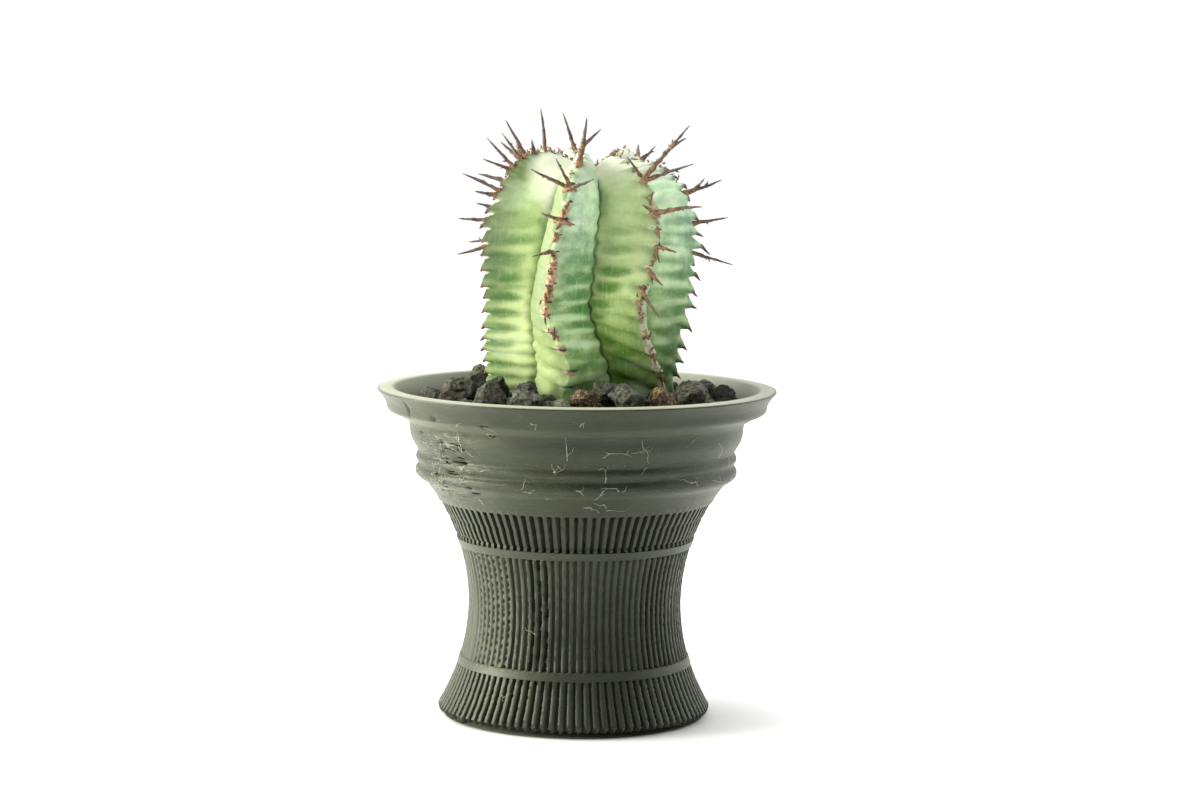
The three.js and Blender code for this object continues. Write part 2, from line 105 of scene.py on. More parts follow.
camera = bpy.data.objects.new("camera", bpy.data.cameras.new("camera"))
camera.data.lens = 105
camera.data.sensor_width = 36
camera.data.clip_start = 0.01
level = math.cos(CAMERA_PITCH)
ahead = Vector((math.sin(CAMERA_YAW) * level, math.cos(CAMERA_YAW) * level, -math.sin(CAMERA_PITCH)))
sideways = Vector((math.cos(CAMERA_YAW), -math.sin(CAMERA_YAW), 0))
upward = sideways.cross(ahead)
camera_right = sideways * math.cos(CAMERA_ROLL) + upward * math.sin(CAMERA_ROLL)
camera_up = upward * math.cos(CAMERA_ROLL) - sideways * math.sin(CAMERA_ROLL)
facing = Matrix((camera_right, camera_up, -ahead)).transposed().to_4x4()
camera.matrix_world = Matrix.Translation(CAMERA_PLACE) @ facing
scene.collection.objects.link(camera)
scene.camera = camera
print("Camera looks along", [round(value, 3) for value in ahead])

# %% [markdown]
# ## Light and floor
# The picture is high key: a white surface runs into a white background, and soft light comes in from the
# left, slightly behind the pot, with a weaker one from the right. The side towards the camera gets the least
# light. A gradient in the world gives that: bright behind, brighter above, dimmer in front and at the right.
# Three soft panels model the form, and the one at the left is much the strongest. The world and every finish
# are built from shader nodes, so a short way to add one comes first.

# %% A short way to add a node


def add_node(tree, kind, output=0, **settings):
    """Output of a new node. A setting is a property, a number for a socket, or a link into a socket."""
    node = tree.nodes.new(kind)
    for key, value in settings.items():
        if hasattr(node, key):
            setattr(node, key, value)
            continue
        socket = node.inputs[int(key[1:]) if key[1:].isdigit() else key.replace("_", " ")]
        if isinstance(value, bpy.types.NodeSocket):
            tree.links.new(value, socket)
        else:
            socket.default_value = value
    return node.outputs[output]


# %% Light the scene
BACK_BRIGHTNESS = 1.15
FRONT_BRIGHTNESS = 0.285
ZENITH_GAIN = 1.60
RIGHT_GAIN = 0.36
OBJECT_MIDDLE = Vector((0, 0, 0.07))
# Each panel: place and size in metres, power in watts, and tint
PANELS = {
    "left_panel": ((-0.80, -0.04, 0.20), 0.55, 17.5, (1.0, 0.99, 0.84)),
    "right_panel": ((0.80, 0.35, 0.35), 0.45, 2.2, (0.95, 1.0, 0.96)),
    "top_panel": ((-0.10, 0.05, 0.85), 0.60, 5.0, (1.0, 1.0, 1.0)),
}


def soft_panel(name, place, size, power, tint):
    """Square area light that faces the middle of the object."""
    data = bpy.data.lights.new(name, "AREA")
    data.shape = "SQUARE"
    data.size = size
    data.energy = power
    data.color = tint
    panel = bpy.data.objects.new(name, data)
    panel.location = place
    panel.rotation_euler = (OBJECT_MIDDLE - Vector(place)).to_track_quat("-Z", "Y").to_euler()
    scene.collection.objects.link(panel)


for name, facts in PANELS.items():
    soft_panel(name, *facts)

world = bpy.data.worlds.new("white_room")
scene.world = world
world.use_nodes = True
room = world.node_tree
room.nodes.clear()
direction = add_node(room, "ShaderNodeTexCoord", output="Generated")


def room_fade(axis, low, high, at_low, at_high):
    """Brightness that goes smoothly from one number to another along an axis of the room."""
    along = add_node(room, "ShaderNodeSeparateXYZ", output=axis, Vector=direction)
    return add_node(
        room, "ShaderNodeMapRange", interpolation_type="SMOOTHSTEP", Value=along,
        From_Min=low, From_Max=high, To_Min=at_low, To_Max=at_high,
    )


brightness = room_fade("Y", -0.7, 0.35, FRONT_BRIGHTNESS, BACK_BRIGHTNESS)
for gain in (room_fade("Z", 0.15, 0.9, 1.0, ZENITH_GAIN), room_fade("X", 0.2, 0.9, 1.0, RIGHT_GAIN)):
    brightness = add_node(room, "ShaderNodeMath", operation="MULTIPLY", s0=brightness, s1=gain)
glow = add_node(room, "ShaderNodeBackground", Color=(1, 1, 1, 1), Strength=brightness)
room.links.new(glow, room.nodes.new("ShaderNodeOutputWorld").inputs["Surface"])
scene.view_settings.view_transform = "Standard"
scene.view_settings.look = "None"

# %% [markdown]
# ## Materials from small parts
# Each finish here is a handful of nodes: a coordinate in millimetres, some noise at the right scale, a few
# colours laid over each other like coats of paint, and a bump. A small helper class keeps every recipe short
# enough to read.

# %% A short way to write a finish


class Recipe:
    """Material whose nodes are added one by one. Coordinates are in millimetres."""

    def __init__(self, name, roughness=0.6, specular=0.5):
        self.material = bpy.data.materials.new(name)
        self.material.use_nodes = True
        self.tree = self.material.node_tree
        self.shader = self.tree.nodes["Principled BSDF"]
        self.set(Roughness=roughness, Specular_IOR_Level=specular)
        place = self.add("ShaderNodeTexCoord", output="Object")
        self.place = self.add("ShaderNodeVectorMath", operation="SCALE", Vector=place, Scale=1 / MM)

    def set(self, **numbers):
        for name, number in numbers.items():
            self.shader.inputs[name.replace("_", " ")].default_value = number

    def link(self, name, socket):
        self.tree.links.new(socket, self.shader.inputs[name])

    def add(self, kind, **settings):
        return add_node(self.tree, kind, **settings)

    def stretched(self, x, y, z):
        return self.add("ShaderNodeVectorMath", operation="MULTIPLY", s0=self.place, s1=(x, y, z))

    def noise(self, scale, detail=3.0, rough=0.55, where=None):
        where = where or self.place
        return self.add("ShaderNodeTexNoise", Vector=where, Scale=scale, Detail=detail, Roughness=rough)

    def value(self, name):
        """Number that the mesh carries at each of its points."""
        return self.add("ShaderNodeAttribute", output=2, attribute_name=name)

    def band(self, value, low, high, to_low=0.0, to_high=1.0):
        """Number that goes from to_low to to_high while value goes from low to high."""
        ends = {"From_Min": low, "From_Max": high, "To_Min": to_low, "To_Max": to_high}
        return self.add("ShaderNodeMapRange", Value=value, **ends)

    def math(self, operation, first, second=0.0):
        return self.add("ShaderNodeMath", operation=operation, s0=first, s1=second)

    def times(self, first, second):
        return self.math("MULTIPLY", first, second)

    def blend(self, share, first, second, way="MIX"):
        """Colour between two others. Factor, A and B are the mix node's colour sockets 0, 6 and 7."""
        first, second = ((*tone, 1) if isinstance(tone, tuple) else tone for tone in (first, second))
        kind = {"output": 2, "data_type": "RGBA", "blend_type": way}
        return self.add("ShaderNodeMix", s0=share, s6=first, s7=second, **kind)

    def coat(self, share, colour, way="MIX"):
        """Lay a colour over the tone so far, as strongly as the share says, and show it."""
        self.tone = self.blend(share, self.tone, colour, way)
        self.link("Base Color", self.tone)

    def relief(self, height, depth, under=None):
        """Bump from a height between 0 and 1, worth depth in millimetres."""
        below = {} if under is None else {"Normal": under}
        bump = self.add("ShaderNodeBump", Height=height, Distance=depth * MM, Strength=1.0, **below)
        self.link("Normal", bump)
        return bump


def speckled(name, scale, dark, light, **shader):
    """Simple finish that wanders between two colours."""
    recipe = Recipe(name, **shader)
    recipe.link("Base Color", recipe.blend(recipe.noise(scale), dark, light))
    return recipe


# %% [markdown]
# The floor is a plain white sheet. It belongs to the stage, not to the object.

# %% Lay the floor
FLOOR_REACH = 6.0
FLOOR_HEIGHT = -0.00005
FLOOR_TONES = ((0.94, 0.94, 0.93), (0.97, 0.97, 0.96))

floor_mesh = bpy.data.meshes.new("floor")
corners = [(x * FLOOR_REACH, y * FLOOR_REACH, FLOOR_HEIGHT) for x, y in ((-1, -1), (1, -1), (1, 1), (-1, 1))]
floor_mesh.from_pydata(corners, [], [(0, 1, 2, 3)])
floor_mesh.materials.append(speckled("white_floor", 0.02, *FLOOR_TONES, roughness=0.7, specular=0.2).material)
floor = bpy.data.objects.new("floor", floor_mesh)
scene.collection.objects.link(floor)

# %% [markdown]
# ## From rings to a mesh
# The pot and the stem are both lofted: a stack of rings of points with faces between each ring and the next.
# A ring may hold a whole multiple of its neighbour's points, so a finely fluted wall can meet a plain one,
# and the stack may end in single points. That keeps each skin closed, as a real thing's is.

# %% Loft rings and make pieces


def loft(rings, joined_ends=False):
    """Points and faces over a stack of rings, whose counts are equal or a multiple of each other."""
    starts = np.cumsum([0] + [len(ring) for ring in rings]).tolist()
    faces = []

    def corners(ring, i, steps):
        """The points of a ring along one of the steps round it."""
        count = len(rings[ring])
        if count == 1:
            return [starts[ring]]
        stride = count // steps
        return [starts[ring] + (i * stride + k) % count for k in range(stride + 1)]

    for low in range(len(rings) if joined_ends else len(rings) - 1):
        high = (low + 1) % len(rings)
        fewer, more = sorted((len(rings[low]), len(rings[high])))
        steps = fewer if fewer > 1 else more
        faces += [corners(low, i, steps) + corners(high, i, steps)[::-1] for i in range(steps)]
    return np.concatenate(rings), faces


def make_piece(name, points, faces, recipe, replaces=(), values=None, crease=None):
    """Mesh object from points in millimetres, with its finish, riding on the one body that there is."""
    mesh = bpy.data.meshes.new(name)
    mesh.from_pydata((np.asarray(points) * MM).tolist(), [], faces)
    mesh.validate()
    for key, numbers in (values or {}).items():
        attribute = mesh.attributes.new(key, "FLOAT", "POINT")
        attribute.data.foreach_set("value", np.asarray(numbers, np.float32))
    mesh.shade_smooth()
    if crease:
        mesh.set_sharp_from_angle(angle=math.radians(crease))
    mesh.materials.append(recipe.material)
    piece = bpy.data.objects.new(name, mesh)
    scene.collection.objects.link(piece)
    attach(piece, "root")
    if replaces:
        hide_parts(*replaces)
    triangles = sum(len(face) - 2 for face in faces)
    print(f"{name}: {len(points)} points, {triangles} triangles")


def catmull_rom(knots, per_span):
    """Smooth curve through the knots, with the same number of points to each span."""
    knots = np.asarray(knots, float)
    last = len(knots) - 1
    curve = []
    for i in range(last):
        p0, p1, p2, p3 = knots[max(i - 1, 0)], knots[i], knots[i + 1], knots[min(i + 2, last)]
        v1, v2 = (p2 - p0) / 2, (p3 - p1) / 2
        cube, square = 2 * p1 - 2 * p2 + v1 + v2, 3 * p2 - 3 * p1 - 2 * v1 - v2
        curve += [cube * t**3 + square * t**2 + v1 * t + p1 for t in np.arange(per_span) / per_span]
    return np.array(curve + [knots[last]])


def run_of(curve):
    """How far along a curve each of its points lies."""
    return np.concatenate([[0], np.cumsum(np.linalg.norm(np.diff(curve, axis=0), axis=1))])


def on_curve(curve, marks, where):
    """Points of a plane curve at places between the marks of its own points."""
    return np.stack([np.interp(where, marks, curve[:, k]) for k in (0, 1)], axis=-1)


# %% [markdown]
# ## Pot
# The pot was printed in dark olive-grey plastic: an hourglass foot with 96 upright flutes in three zones, two
# smooth bands between them, and a turned bowl with two beads, a flared neck and a lip. Seen close, no flute
# is like the next: in the lowest zone narrow slits part flat ridges, the waist is evenly corrugated and
# nearly smooth at the far left, and above it the slits are wide and deep. Some seams near the front left are
# pitted or torn open. A displacement texture could do this on a turned body, but a formula for each point
# keeps the slits' edges crisp.

# %% The hourglass and its flutes
FLUTES = 96
RIDGE_SHIFT = 0.58
WAIST_RADIUS = 22.4
WAIST_HEIGHT = 24
FLARE = 0.013
FLUTE_PHASES = np.array([0.0, 0.22, 0.33, 0.40, 0.5, 0.60, 0.67, 0.78])
WALL = 2.5
FLOOR_THICKNESS = 3
# Each zone: bottom, top, rows, share of a flute that is slit, how crisp its walls are, and its depth
FLUTE_ZONES = {
    "foot": (2.15, 11.05, 20, 0.36, (0.6, 1.1), 0.75),
    "waist": (12.95, 36.05, 40, 0.50, (0.3, 1.3), 0.48),
    "shoulder": (37.85, 45.65, 20, 0.44, (0.6, 1.1), 1.45),
}
BEAD_PITCH = 0.95
LEVEL_LINES = [42.2, 38.7]
# Where the flutes differ, in degrees round the pot: from, to, and how softly that ends
DEEP_WAIST = (40, 57, 3)
PITTED_WAIST = (-61, -38, 4)
BEADED_LEFT = (-75, -56, 4)
BEADED_RIGHT = (38, 58, 4)
SMOOTH_WAIST = -86
TORN_SEAMS = [-23.5, -18.9, -15.2]

flute_number = np.repeat(np.arange(FLUTES), len(FLUTE_PHASES))
flute_phase = np.tile(FLUTE_PHASES, FLUTES)
pot_azimuth = TURN * (flute_number + flute_phase + RIDGE_SHIFT) / FLUTES


def hourglass(height):
    return WAIST_RADIUS + FLARE * (height - WAIST_HEIGHT) ** 2


def degrees_from(azimuth, degrees):
    """Signed distance in degrees from one azimuth to others."""
    return (np.degrees(azimuth) - degrees + 180) % 360 - 180


def flute_depth(zone, height):
    """How deep each point of a level ring lies in its flute, in millimetres."""
    bottom, top, _, width, walls, depth = FLUTE_ZONES[zone]
    random = np.random.default_rng(5 + len(zone))
    uneven = 1 + 0.07 * random.normal(size=FLUTES)[flute_number]
    bead_phase = random.uniform(0, TURN, FLUTES)[flute_number]
    place = polar(pot_azimuth, hourglass(height), height)
    end = np.exp(-min(top - height, height - bottom) / 0.5)
    away = np.abs(flute_phase - 0.5) / (width / 2)
    away = away * (1 + 0.09 * ripple(place, 1.1, 12)) / (1 + 0.15 * end)
    slit = 1 - smoothstep(away, *walls)
    degrees = degrees_from(pot_azimuth, 0)
    depth = depth * uneven * (1 + 0.3 * end)
    beads = np.clip(0.5 + 0.8 * np.sin(TURN * height / BEAD_PITCH + bead_phase), 0.05, 1.3)
    if zone == "waist":
        depth = depth * mix(0.25, 1.0, smoothstep(np.abs(degrees - SMOOTH_WAIST), 16, 30))
        depth = depth * (1 + 0.9 * window(degrees, *DEEP_WAIST))
        beaded = window(degrees, *PITTED_WAIST)
    else:
        beaded = 0.8 * window(degrees, *BEADED_LEFT) + 0.6 * window(degrees, *BEADED_RIGHT)
    depth = depth * mix(1.0, beads, np.clip(beaded, 0, 1))
    if zone == "waist":
        torn = smoothstep(ripple(place, 2.4, 14), -0.5, 0.2)
        depth = depth + 0.9 * torn * sum(np.abs(degrees - seam) < 2.0 for seam in TORN_SEAMS)
    dent = sum(0.3 * hump(height, line, 0.2) for line in LEVEL_LINES)
    return slit * depth + dent * (1 - slit) + 0.02 * ripple(place, 1.6, 11)


# %% [markdown]
# The bowl above the flutes is turned, so it needs only its outline: a cone, two beads with a groove between
# them, a neck that flares out, a chamfer, an upright band and the lip. The inside falls from the mouth to a
# flat floor with a drain hole. Small nicks dent the left side, where the print tore, and beside the crooked
# seam where the printer began each turn the wall is torn between its print lines.

# %% Turn the bowl and the inside
BOWL_OUTLINE = [
    (29.5, 47.0), (30.5, 48.4), (31.5, 49.6), (33.0, 50.6), (33.65, 51.3), (33.75, 52.1), (33.5, 52.8),
    (33.05, 53.3), (33.2, 53.8), (33.6, 54.4), (33.65, 55.0), (33.4, 55.6), (33.15, 56.0), (33.4, 56.6),
    (34.1, 57.8), (34.7, 59.0), (34.95, 60.2), (35.05, 61.4), (35.25, 62.3), (35.6, 62.75), (36.3, 63.1),
]
BOWL_ROWS = 46
LIP_OUTLINE = [
    (37.7, 63.9), (39.2, 64.5), (39.55, 64.75), (39.85, 65.3), (40.0, 66.2), (40.3, 66.9), (41.0, 67.9),
    (41.6, 68.6), (41.85, 68.9), (41.8, 69.15), (41.3, 69.27), (38.9, 69.4), (38.5, 69.3), (38.25, 69.0),
]
TOP_ROWS = 4
INSIDE_OUTLINE = [(37.4, 65), (34.2, 62), (30.9, 56)] + [
    (hourglass(height) - WALL, height) for height in (48, 39, 31, 24, 15, 8, FLOOR_THICKNESS)
]
DRAIN_RADIUS = 4
FOOT_EDGE = [(26.5, 0.0), (27.4, 0.3)]
FLUTED_EDGE = [(27.9, 0.6), (28.4, 1.2)]
UPPER_EDGE = (28.9, 45.8)
BAND_STANDS_OFF = 0.15
BAND_PALENESS = 0.03
# Each nick: azimuth in degrees, height, half its length and half its height in millimetres
NICKS = [
    (-59, 66.7, 0.3, 1.7), (-46.6, 65.2, 0.9, 0.25), (-27.9, 64.8, 1.0, 0.3), (-28.9, 62.4, 0.8, 0.3),
    (-66.1, 61.2, 1.3, 0.2), (-53.0, 59.9, 0.9, 0.2), (-42.7, 58.9, 1.2, 0.25), (-46.0, 56.1, 2.6, 0.25),
    (-59.1, 52.9, 1.6, 0.3), (-40.7, 51.1, 1.0, 0.3), (-39.5, 50.0, 1.4, 0.25), (-55.0, 50.5, 1.1, 0.3),
]
PRINT_SEAM = -54
SEAM_STEP = 0.16
STEPPED_HEIGHTS = (50.5, 62.0, 0.8)
# Where the wall is torn, with soft ends: a stretch round the pot in degrees, its heights, and the heights at
# which all of the wall is torn a little
TORN_STRETCH = (-64, -40, 7)
TORN_HEIGHTS = (48, 62, 1.0)
WORN_HEIGHTS = (50, 57, 1.0)

coarse_azimuth = pot_azimuth[::2]


def even_curve(knots, count):
    """Smooth curve through the knots, cut into steps of the same length."""
    curve = catmull_rom(knots, 8)
    run = run_of(curve)
    return on_curve(curve, run, np.linspace(0, run[-1], count))


def print_damage(height):
    """Dents on a level ring of the bowl, the step along its seam, and how torn its print lines are."""
    nick = np.zeros(len(coarse_azimuth))
    for azimuth, middle, half_length, half_height in NICKS:
        along = np.abs(np.radians(degrees_from(coarse_azimuth, azimuth))) * 35 / half_length
        nick += 0.9 * (1 - smoothstep(along, 0.6, 1.2)) * hump(height, middle, half_height)
    crooked = PRINT_SEAM + 0.9 * math.sin(2.1 * height) + 0.6 * math.sin(5.3 * height)
    from_seam = degrees_from(coarse_azimuth, crooked)
    step = SEAM_STEP * smoothstep(from_seam, -0.8, 0.8) * (from_seam > -5)
    step = step * (1 - smoothstep(from_seam, 14, 60)) * window(height, *STEPPED_HEIGHTS)
    beside_seam = window(degrees_from(coarse_azimuth, 0), *TORN_STRETCH)
    torn = beside_seam * window(height, *TORN_HEIGHTS) + 0.25 * window(height, *WORN_HEIGHTS)
    return nick, step, torn


def make_pot_mesh():
    """Points and faces, and how deep in a slit or nick, how pale and how torn each point is."""
    rings = []
    marks = {"groove": [], "pale": [], "torn": []}

    def lay(azimuth, radius, height, groove=0.0, pale=0.0, torn=0.0):
        rings.append(polar(azimuth, radius, height))
        for numbers, number in zip(marks.values(), (groove, pale, torn)):
            numbers.append(np.broadcast_to(number, len(azimuth)))

    def lay_fluted(zone, height, radius, share=1.0):
        depth = share * flute_depth(zone, height)
        lay(pot_azimuth, radius - depth, height, depth)

    for radius, height in FOOT_EDGE:
        lay(pot_azimuth, radius, height)
    for radius, height in FLUTED_EDGE:
        lay_fluted("foot", height, radius, 0.8)
    previous = None
    for name, (bottom, top, rows, *_) in FLUTE_ZONES.items():
        if previous is not None:
            for height in (previous + 0.12, mix(previous, bottom, 0.5), bottom - 0.12):
                lay(pot_azimuth, hourglass(height) + BAND_STANDS_OFF, height, pale=BAND_PALENESS)
        for height in np.linspace(bottom, top, rows):
            lay_fluted(name, height, hourglass(height))
        previous = top
    lay(pot_azimuth, *UPPER_EDGE, pale=BAND_PALENESS)
    outside = [*even_curve(BOWL_OUTLINE, BOWL_ROWS), *LIP_OUTLINE]
    for radius, height in outside[:-TOP_ROWS]:
        nick, step, torn = print_damage(height)
        lay(coarse_azimuth, radius - 0.4 * nick - step, height, nick, 0.0, torn)
    # The top of the lip is laid pale: a painted highlight where it catches the light
    for radius, height in outside[-TOP_ROWS:]:
        lay(coarse_azimuth, radius, height, pale=1.0)
    for radius, height in INSIDE_OUTLINE:
        lay(pot_azimuth[::4], radius, height)
    for height in (FLOOR_THICKNESS, 0):
        lay(pot_azimuth[::16], DRAIN_RADIUS, height)
    points, faces = loft(rings, joined_ends=True)
    return points, faces, {key: np.concatenate(numbers) for key, numbers in marks.items()}


pot_points, pot_faces, pot_values = make_pot_mesh()
pot_width, pot_height = 2 * pot_points[:, 0].max(), pot_points[:, 2].max()
print("Pot is", round(pot_width, 1), "mm wide and", round(pot_height, 1), "mm high")

# %% [markdown]
# The plastic is matt and olive-grey, with a faint sheen where light grazes it. Fine level print lines run
# round it, broken into short light and dark dashes. The slits and nicks are darkened with their depth as
# painted shade, the top of the lip is painted pale as a painted highlight, and beside the seam thin dark
# tears, whose dark is painted shade, and light burrs lie between the lines.

# %% Finish the pot
PLASTIC = (0.0100, 0.0128, 0.0060)
PLASTIC_DARK = (0.004, 0.005, 0.003)
PLASTIC_DUSTY = (0.021, 0.025, 0.0125)
PLASTIC_LIGHT_DASH = (0.085, 0.095, 0.060)
PLASTIC_HIGHLIGHT_AND_WEAR = (0.38, 0.39, 0.31)
SOIL_SPECK = (0.35, 0.33, 0.24)


def printed_plastic():
    recipe = Recipe("printed_plastic", roughness=0.45, specular=0.45)
    recipe.set(Specular_Tint=(0.95, 1.0, 0.86, 1), Sheen_Tint=(0.96, 1.0, 0.76, 1))
    recipe.set(Sheen_Weight=0.20, Sheen_Roughness=0.45)
    recipe.tone = PLASTIC
    recipe.coat(recipe.band(recipe.noise(0.12, detail=4), 0.35, 0.7), PLASTIC_DUSTY)
    dashes = recipe.noise(1.0, detail=4, rough=0.7, where=recipe.stretched(0.3, 0.3, 5.5))
    # Short light and dark dashes along the print lines
    recipe.coat(recipe.band(dashes, 0.60, 0.70, 0, 0.5), PLASTIC_LIGHT_DASH)
    recipe.coat(recipe.band(dashes, 0.36, 0.28, 0, 0.7), PLASTIC_DARK)
    # Painted highlight on the top of the lip; the smooth bands get a faint touch of the same pale tone
    recipe.coat(recipe.times(recipe.value("pale"), 0.58), PLASTIC_HIGHLIGHT_AND_WEAR)
    depth = recipe.value("groove")
    # Painted shade: slits and nicks grow darker with their depth
    recipe.coat(recipe.band(depth, 0.12, 0.6), PLASTIC_DARK)
    tears = recipe.noise(1.0, detail=2, rough=0.5, where=recipe.stretched(0.42, 0.42, 3.4))
    torn = recipe.value("torn")
    open_tears = recipe.times(torn, recipe.band(tears, 0.425, 0.40))
    # Painted shade: the open tears are laid dark, as the inside of a gap would be
    recipe.coat(open_tears, PLASTIC_DARK)
    recipe.coat(recipe.times(torn, recipe.band(tears, 0.62, 0.65, 0, 0.16)), PLASTIC_HIGHLIGHT_AND_WEAR)
    recipe.coat(recipe.band(recipe.noise(3.2, detail=1), 0.80, 0.83), SOIL_SPECK)
    dull = recipe.band(depth, 0.2, 0.6, 0, 0.3)
    recipe.link("Roughness", recipe.math("ADD", recipe.band(dashes, 0.3, 0.7, 0.52, 0.42), dull))
    wave = {"bands_direction": "Z", "Scale": 1.1, "Distortion": 0.4, "Detail": 1.0}
    fine = recipe.relief(recipe.add("ShaderNodeTexWave", Vector=recipe.place, **wave), 0.012)
    uneven = recipe.relief(dashes, 0.08, under=fine)
    recipe.relief(recipe.math("SUBTRACT", 1.0, open_tears), 0.25, under=uneven)
    return recipe


plastic = printed_plastic()
make_piece("pot_shell", pot_points, pot_faces, plastic, ["pot"], pot_values, crease=50)

# %% [markdown]
# ## Strings of plastic
# A printer that drags its nozzle leaves thin strings. On this pot they cling to the bowl as pale wisps a few
# millimetres long, some lying flat and some standing off. Hair curves would not survive an export, so each
# wisp is a three-sided tube along a short random walk over the wall.

# %% Tubes along a path


def tube(path, radii, sides=6):
    """Rings and closed ends of a tube along a path, as points and faces."""
    path = np.asarray(path, float)
    run = np.gradient(path, axis=0)
    run /= np.linalg.norm(run, axis=1, keepdims=True)
    helper = [0.0, 0.0, 1.0] if abs(run[0, 2]) < 0.9 else [1.0, 0.0, 0.0]
    across = np.cross(run, helper)
    across /= np.linalg.norm(across, axis=1, keepdims=True)
    over = np.cross(run, across)
    angles = (TURN * np.arange(sides) / sides)[None, :, None]
    radii = np.asarray(radii, float)
    radii = np.broadcast_to(radii if radii.ndim == 2 else radii[..., None], (len(path), sides))
    spread = across[:, None] * np.cos(angles) + over[:, None] * np.sin(angles)
    rings = path[:, None] + spread * radii[..., None]
    start = path[:1] - 0.3 * radii.mean() * run[0]
    end = path[-1:] + 0.2 * radii.mean() * run[-1]
    return loft([start, *rings, end])


class Heap:
    """Many small closed bodies gathered into one mesh, each with its own numbers."""

    def __init__(self):
        self.points, self.faces, self.values, self.count = [], [], {}, 0

    def put(self, points, faces, **values):
        self.points.append(points)
        self.faces += [[corner + self.count for corner in face] for face in faces]
        self.count += len(points)
        for key, numbers in values.items():
            self.values.setdefault(key, []).append(np.broadcast_to(numbers, len(points)))

    def piece(self, name, recipe, slot, replaces=(), crease=None):
        values = {key: np.concatenate(parts) for key, parts in self.values.items()}
        make_piece(name, np.concatenate(self.points), self.faces, recipe, replaces, values, crease)


# %% Lay the wisps
# Each wisp: azimuth and height of its start, length, heading (0 is right, 90 is up) and how much it curls
FRONT_WISPS = [
    (-39, 64.0, 3.0, 60, 1.5), (-43, 60.7, 4.0, 80, 1.0), (-47, 58.9, 4.5, 10, 1.5),
    (-44, 59.4, 3.5, 120, 2.0), (-53, 57.7, 3.0, 80, 0.5), (-42, 58.4, 4.0, 85, 1.5),
    (-56, 55.2, 3.0, 70, 1.0), (-42, 55.4, 3.0, 170, 1.5), (-35, 54.7, 2.6, 30, 1.5),
    (-28, 64.7, 2.5, 0, 1.0), (-28, 62.7, 2.0, 150, 1.5), (-54, 51.8, 3.0, 60, 2.0),
    (-57, 50.4, 3.0, 30, 1.5), (-58, 48.5, 2.6, 75, 1.0), (-3, 58.0, 5.0, 91, 0.2), (13, 59.5, 3.5, 0, 0.6),
    (13, 59.6, 3.0, 175, 0.8), (18, 59.7, 5.0, 10, 0.8), (23, 60.2, 4.0, -65, 1.2),
    (23, 60.2, 2.5, 120, 1.0), (39, 60.2, 4.5, 8, 0.6), (60, 56.7, 4.5, 95, 0.8), (69, 54.4, 4.0, 80, 1.0),
    (-8, 55.6, 3.0, 20, 1.0), (-7, 55.1, 2.5, 110, 1.5), (-19, 51.9, 2.5, 40, 1.5),
    (-18, 51.3, 2.0, -50, 1.5), (-11, 49.9, 1.4, 10, 1.0), (0, 52.0, 2.4, -30, 1.5),
    (10, 53.4, 4.0, 75, 1.0), (15, 51.7, 4.5, 170, 1.5), (16, 51.6, 2.0, 40, 1.5),
    (45, 52.4, 4.0, 150, 1.5), (44, 52.6, 3.0, 20, 2.0), (56, 52.4, 4.0, 10, 1.5), (3, 48.1, 4.0, 20, 1.2),
    (7, 49.8, 2.5, 60, 1.5), (12, 47.2, 5.0, 5, 1.0), (11, 48.4, 3.0, 60, 1.5), (23, 54.9, 2.0, 60, 0.5),
    (-12, 64.7, 1.2, 80, 1.0), (2, 65.5, 1.0, 100, 1.0), (-20, 20.5, 1.8, 200, 2.0),
    (-33, 6.5, 3.0, 150, 1.5),
]
# Scattered wisps, behind and at the seam: how many, ranges of azimuth, height, length and heading, and curl
SCATTERED_WISPS = [
    (34, (75, 285), (47, 62), (1.5, 4.5), (0, 180), 1.3),
    (26, (-64, -38), (48, 61), (0.8, 2.4), (0, 180), 2.2),
]
WISP_STEP = 0.35
WISP_RADIUS = 0.036
BRANCHED = 0.7
STRING_TONES = ((0.42, 0.44, 0.34), (0.88, 0.89, 0.78))

LOWER_OUTLINE = [(28.5, 0), (24.7, 11), (22.5, 24), (24.4, 36), UPPER_EDGE]
pot_outline = np.array(LOWER_OUTLINE + BOWL_OUTLINE + LIP_OUTLINE[:9])


def wall_radius(height):
    return np.interp(height, pot_outline[:, 1], pot_outline[:, 0])


def wisp(start_azimuth, height, length, heading, curl, random):
    """Random walk over the wall: it starts on the plastic, lifts off a little and comes back to it."""
    azimuth, heading = math.radians(start_azimuth), math.radians(heading)
    steps = max(int(length / WISP_STEP), 4)
    lift = random.uniform(0.1, 0.7)
    path = []
    for i in range(steps + 1):
        radius = wall_radius(height)
        path.append(polar(azimuth, radius + 0.05 + lift * math.sin(math.pi * i / steps), height))
        heading += curl * random.normal() * 0.28
        azimuth += WISP_STEP * math.cos(heading) / radius
        height += WISP_STEP * math.sin(heading)
    return path


def lay_wisps():
    random = np.random.default_rng(21)
    heap = Heap()
    wisps = list(FRONT_WISPS)
    for count, *ranges, curl in SCATTERED_WISPS:
        wisps += [(*(random.uniform(*ends) for ends in ranges), curl) for _ in range(count)]
    for facts in wisps:
        path = wisp(*facts, random)
        heap.put(*tube(path, WISP_RADIUS * (1 - 0.5 * np.linspace(0, 1, len(path))), sides=3))
        if random.random() < BRANCHED:
            x, y, height = path[int(random.uniform(0.2, 0.7) * len(path))]
            heading = facts[3] + random.choice([-1, 1]) * random.uniform(35, 80)
            twig_path = wisp(math.degrees(math.atan2(x, -y)), height, 0.5 * facts[2], heading, 2.0, random)
            heap.put(*tube(twig_path, 0.7 * WISP_RADIUS, sides=3))
    return heap


string_finish = speckled("pale_strings", 1.2, *STRING_TONES, roughness=0.4)
lay_wisps().piece("print_strings", string_finish, "printed_plastic")

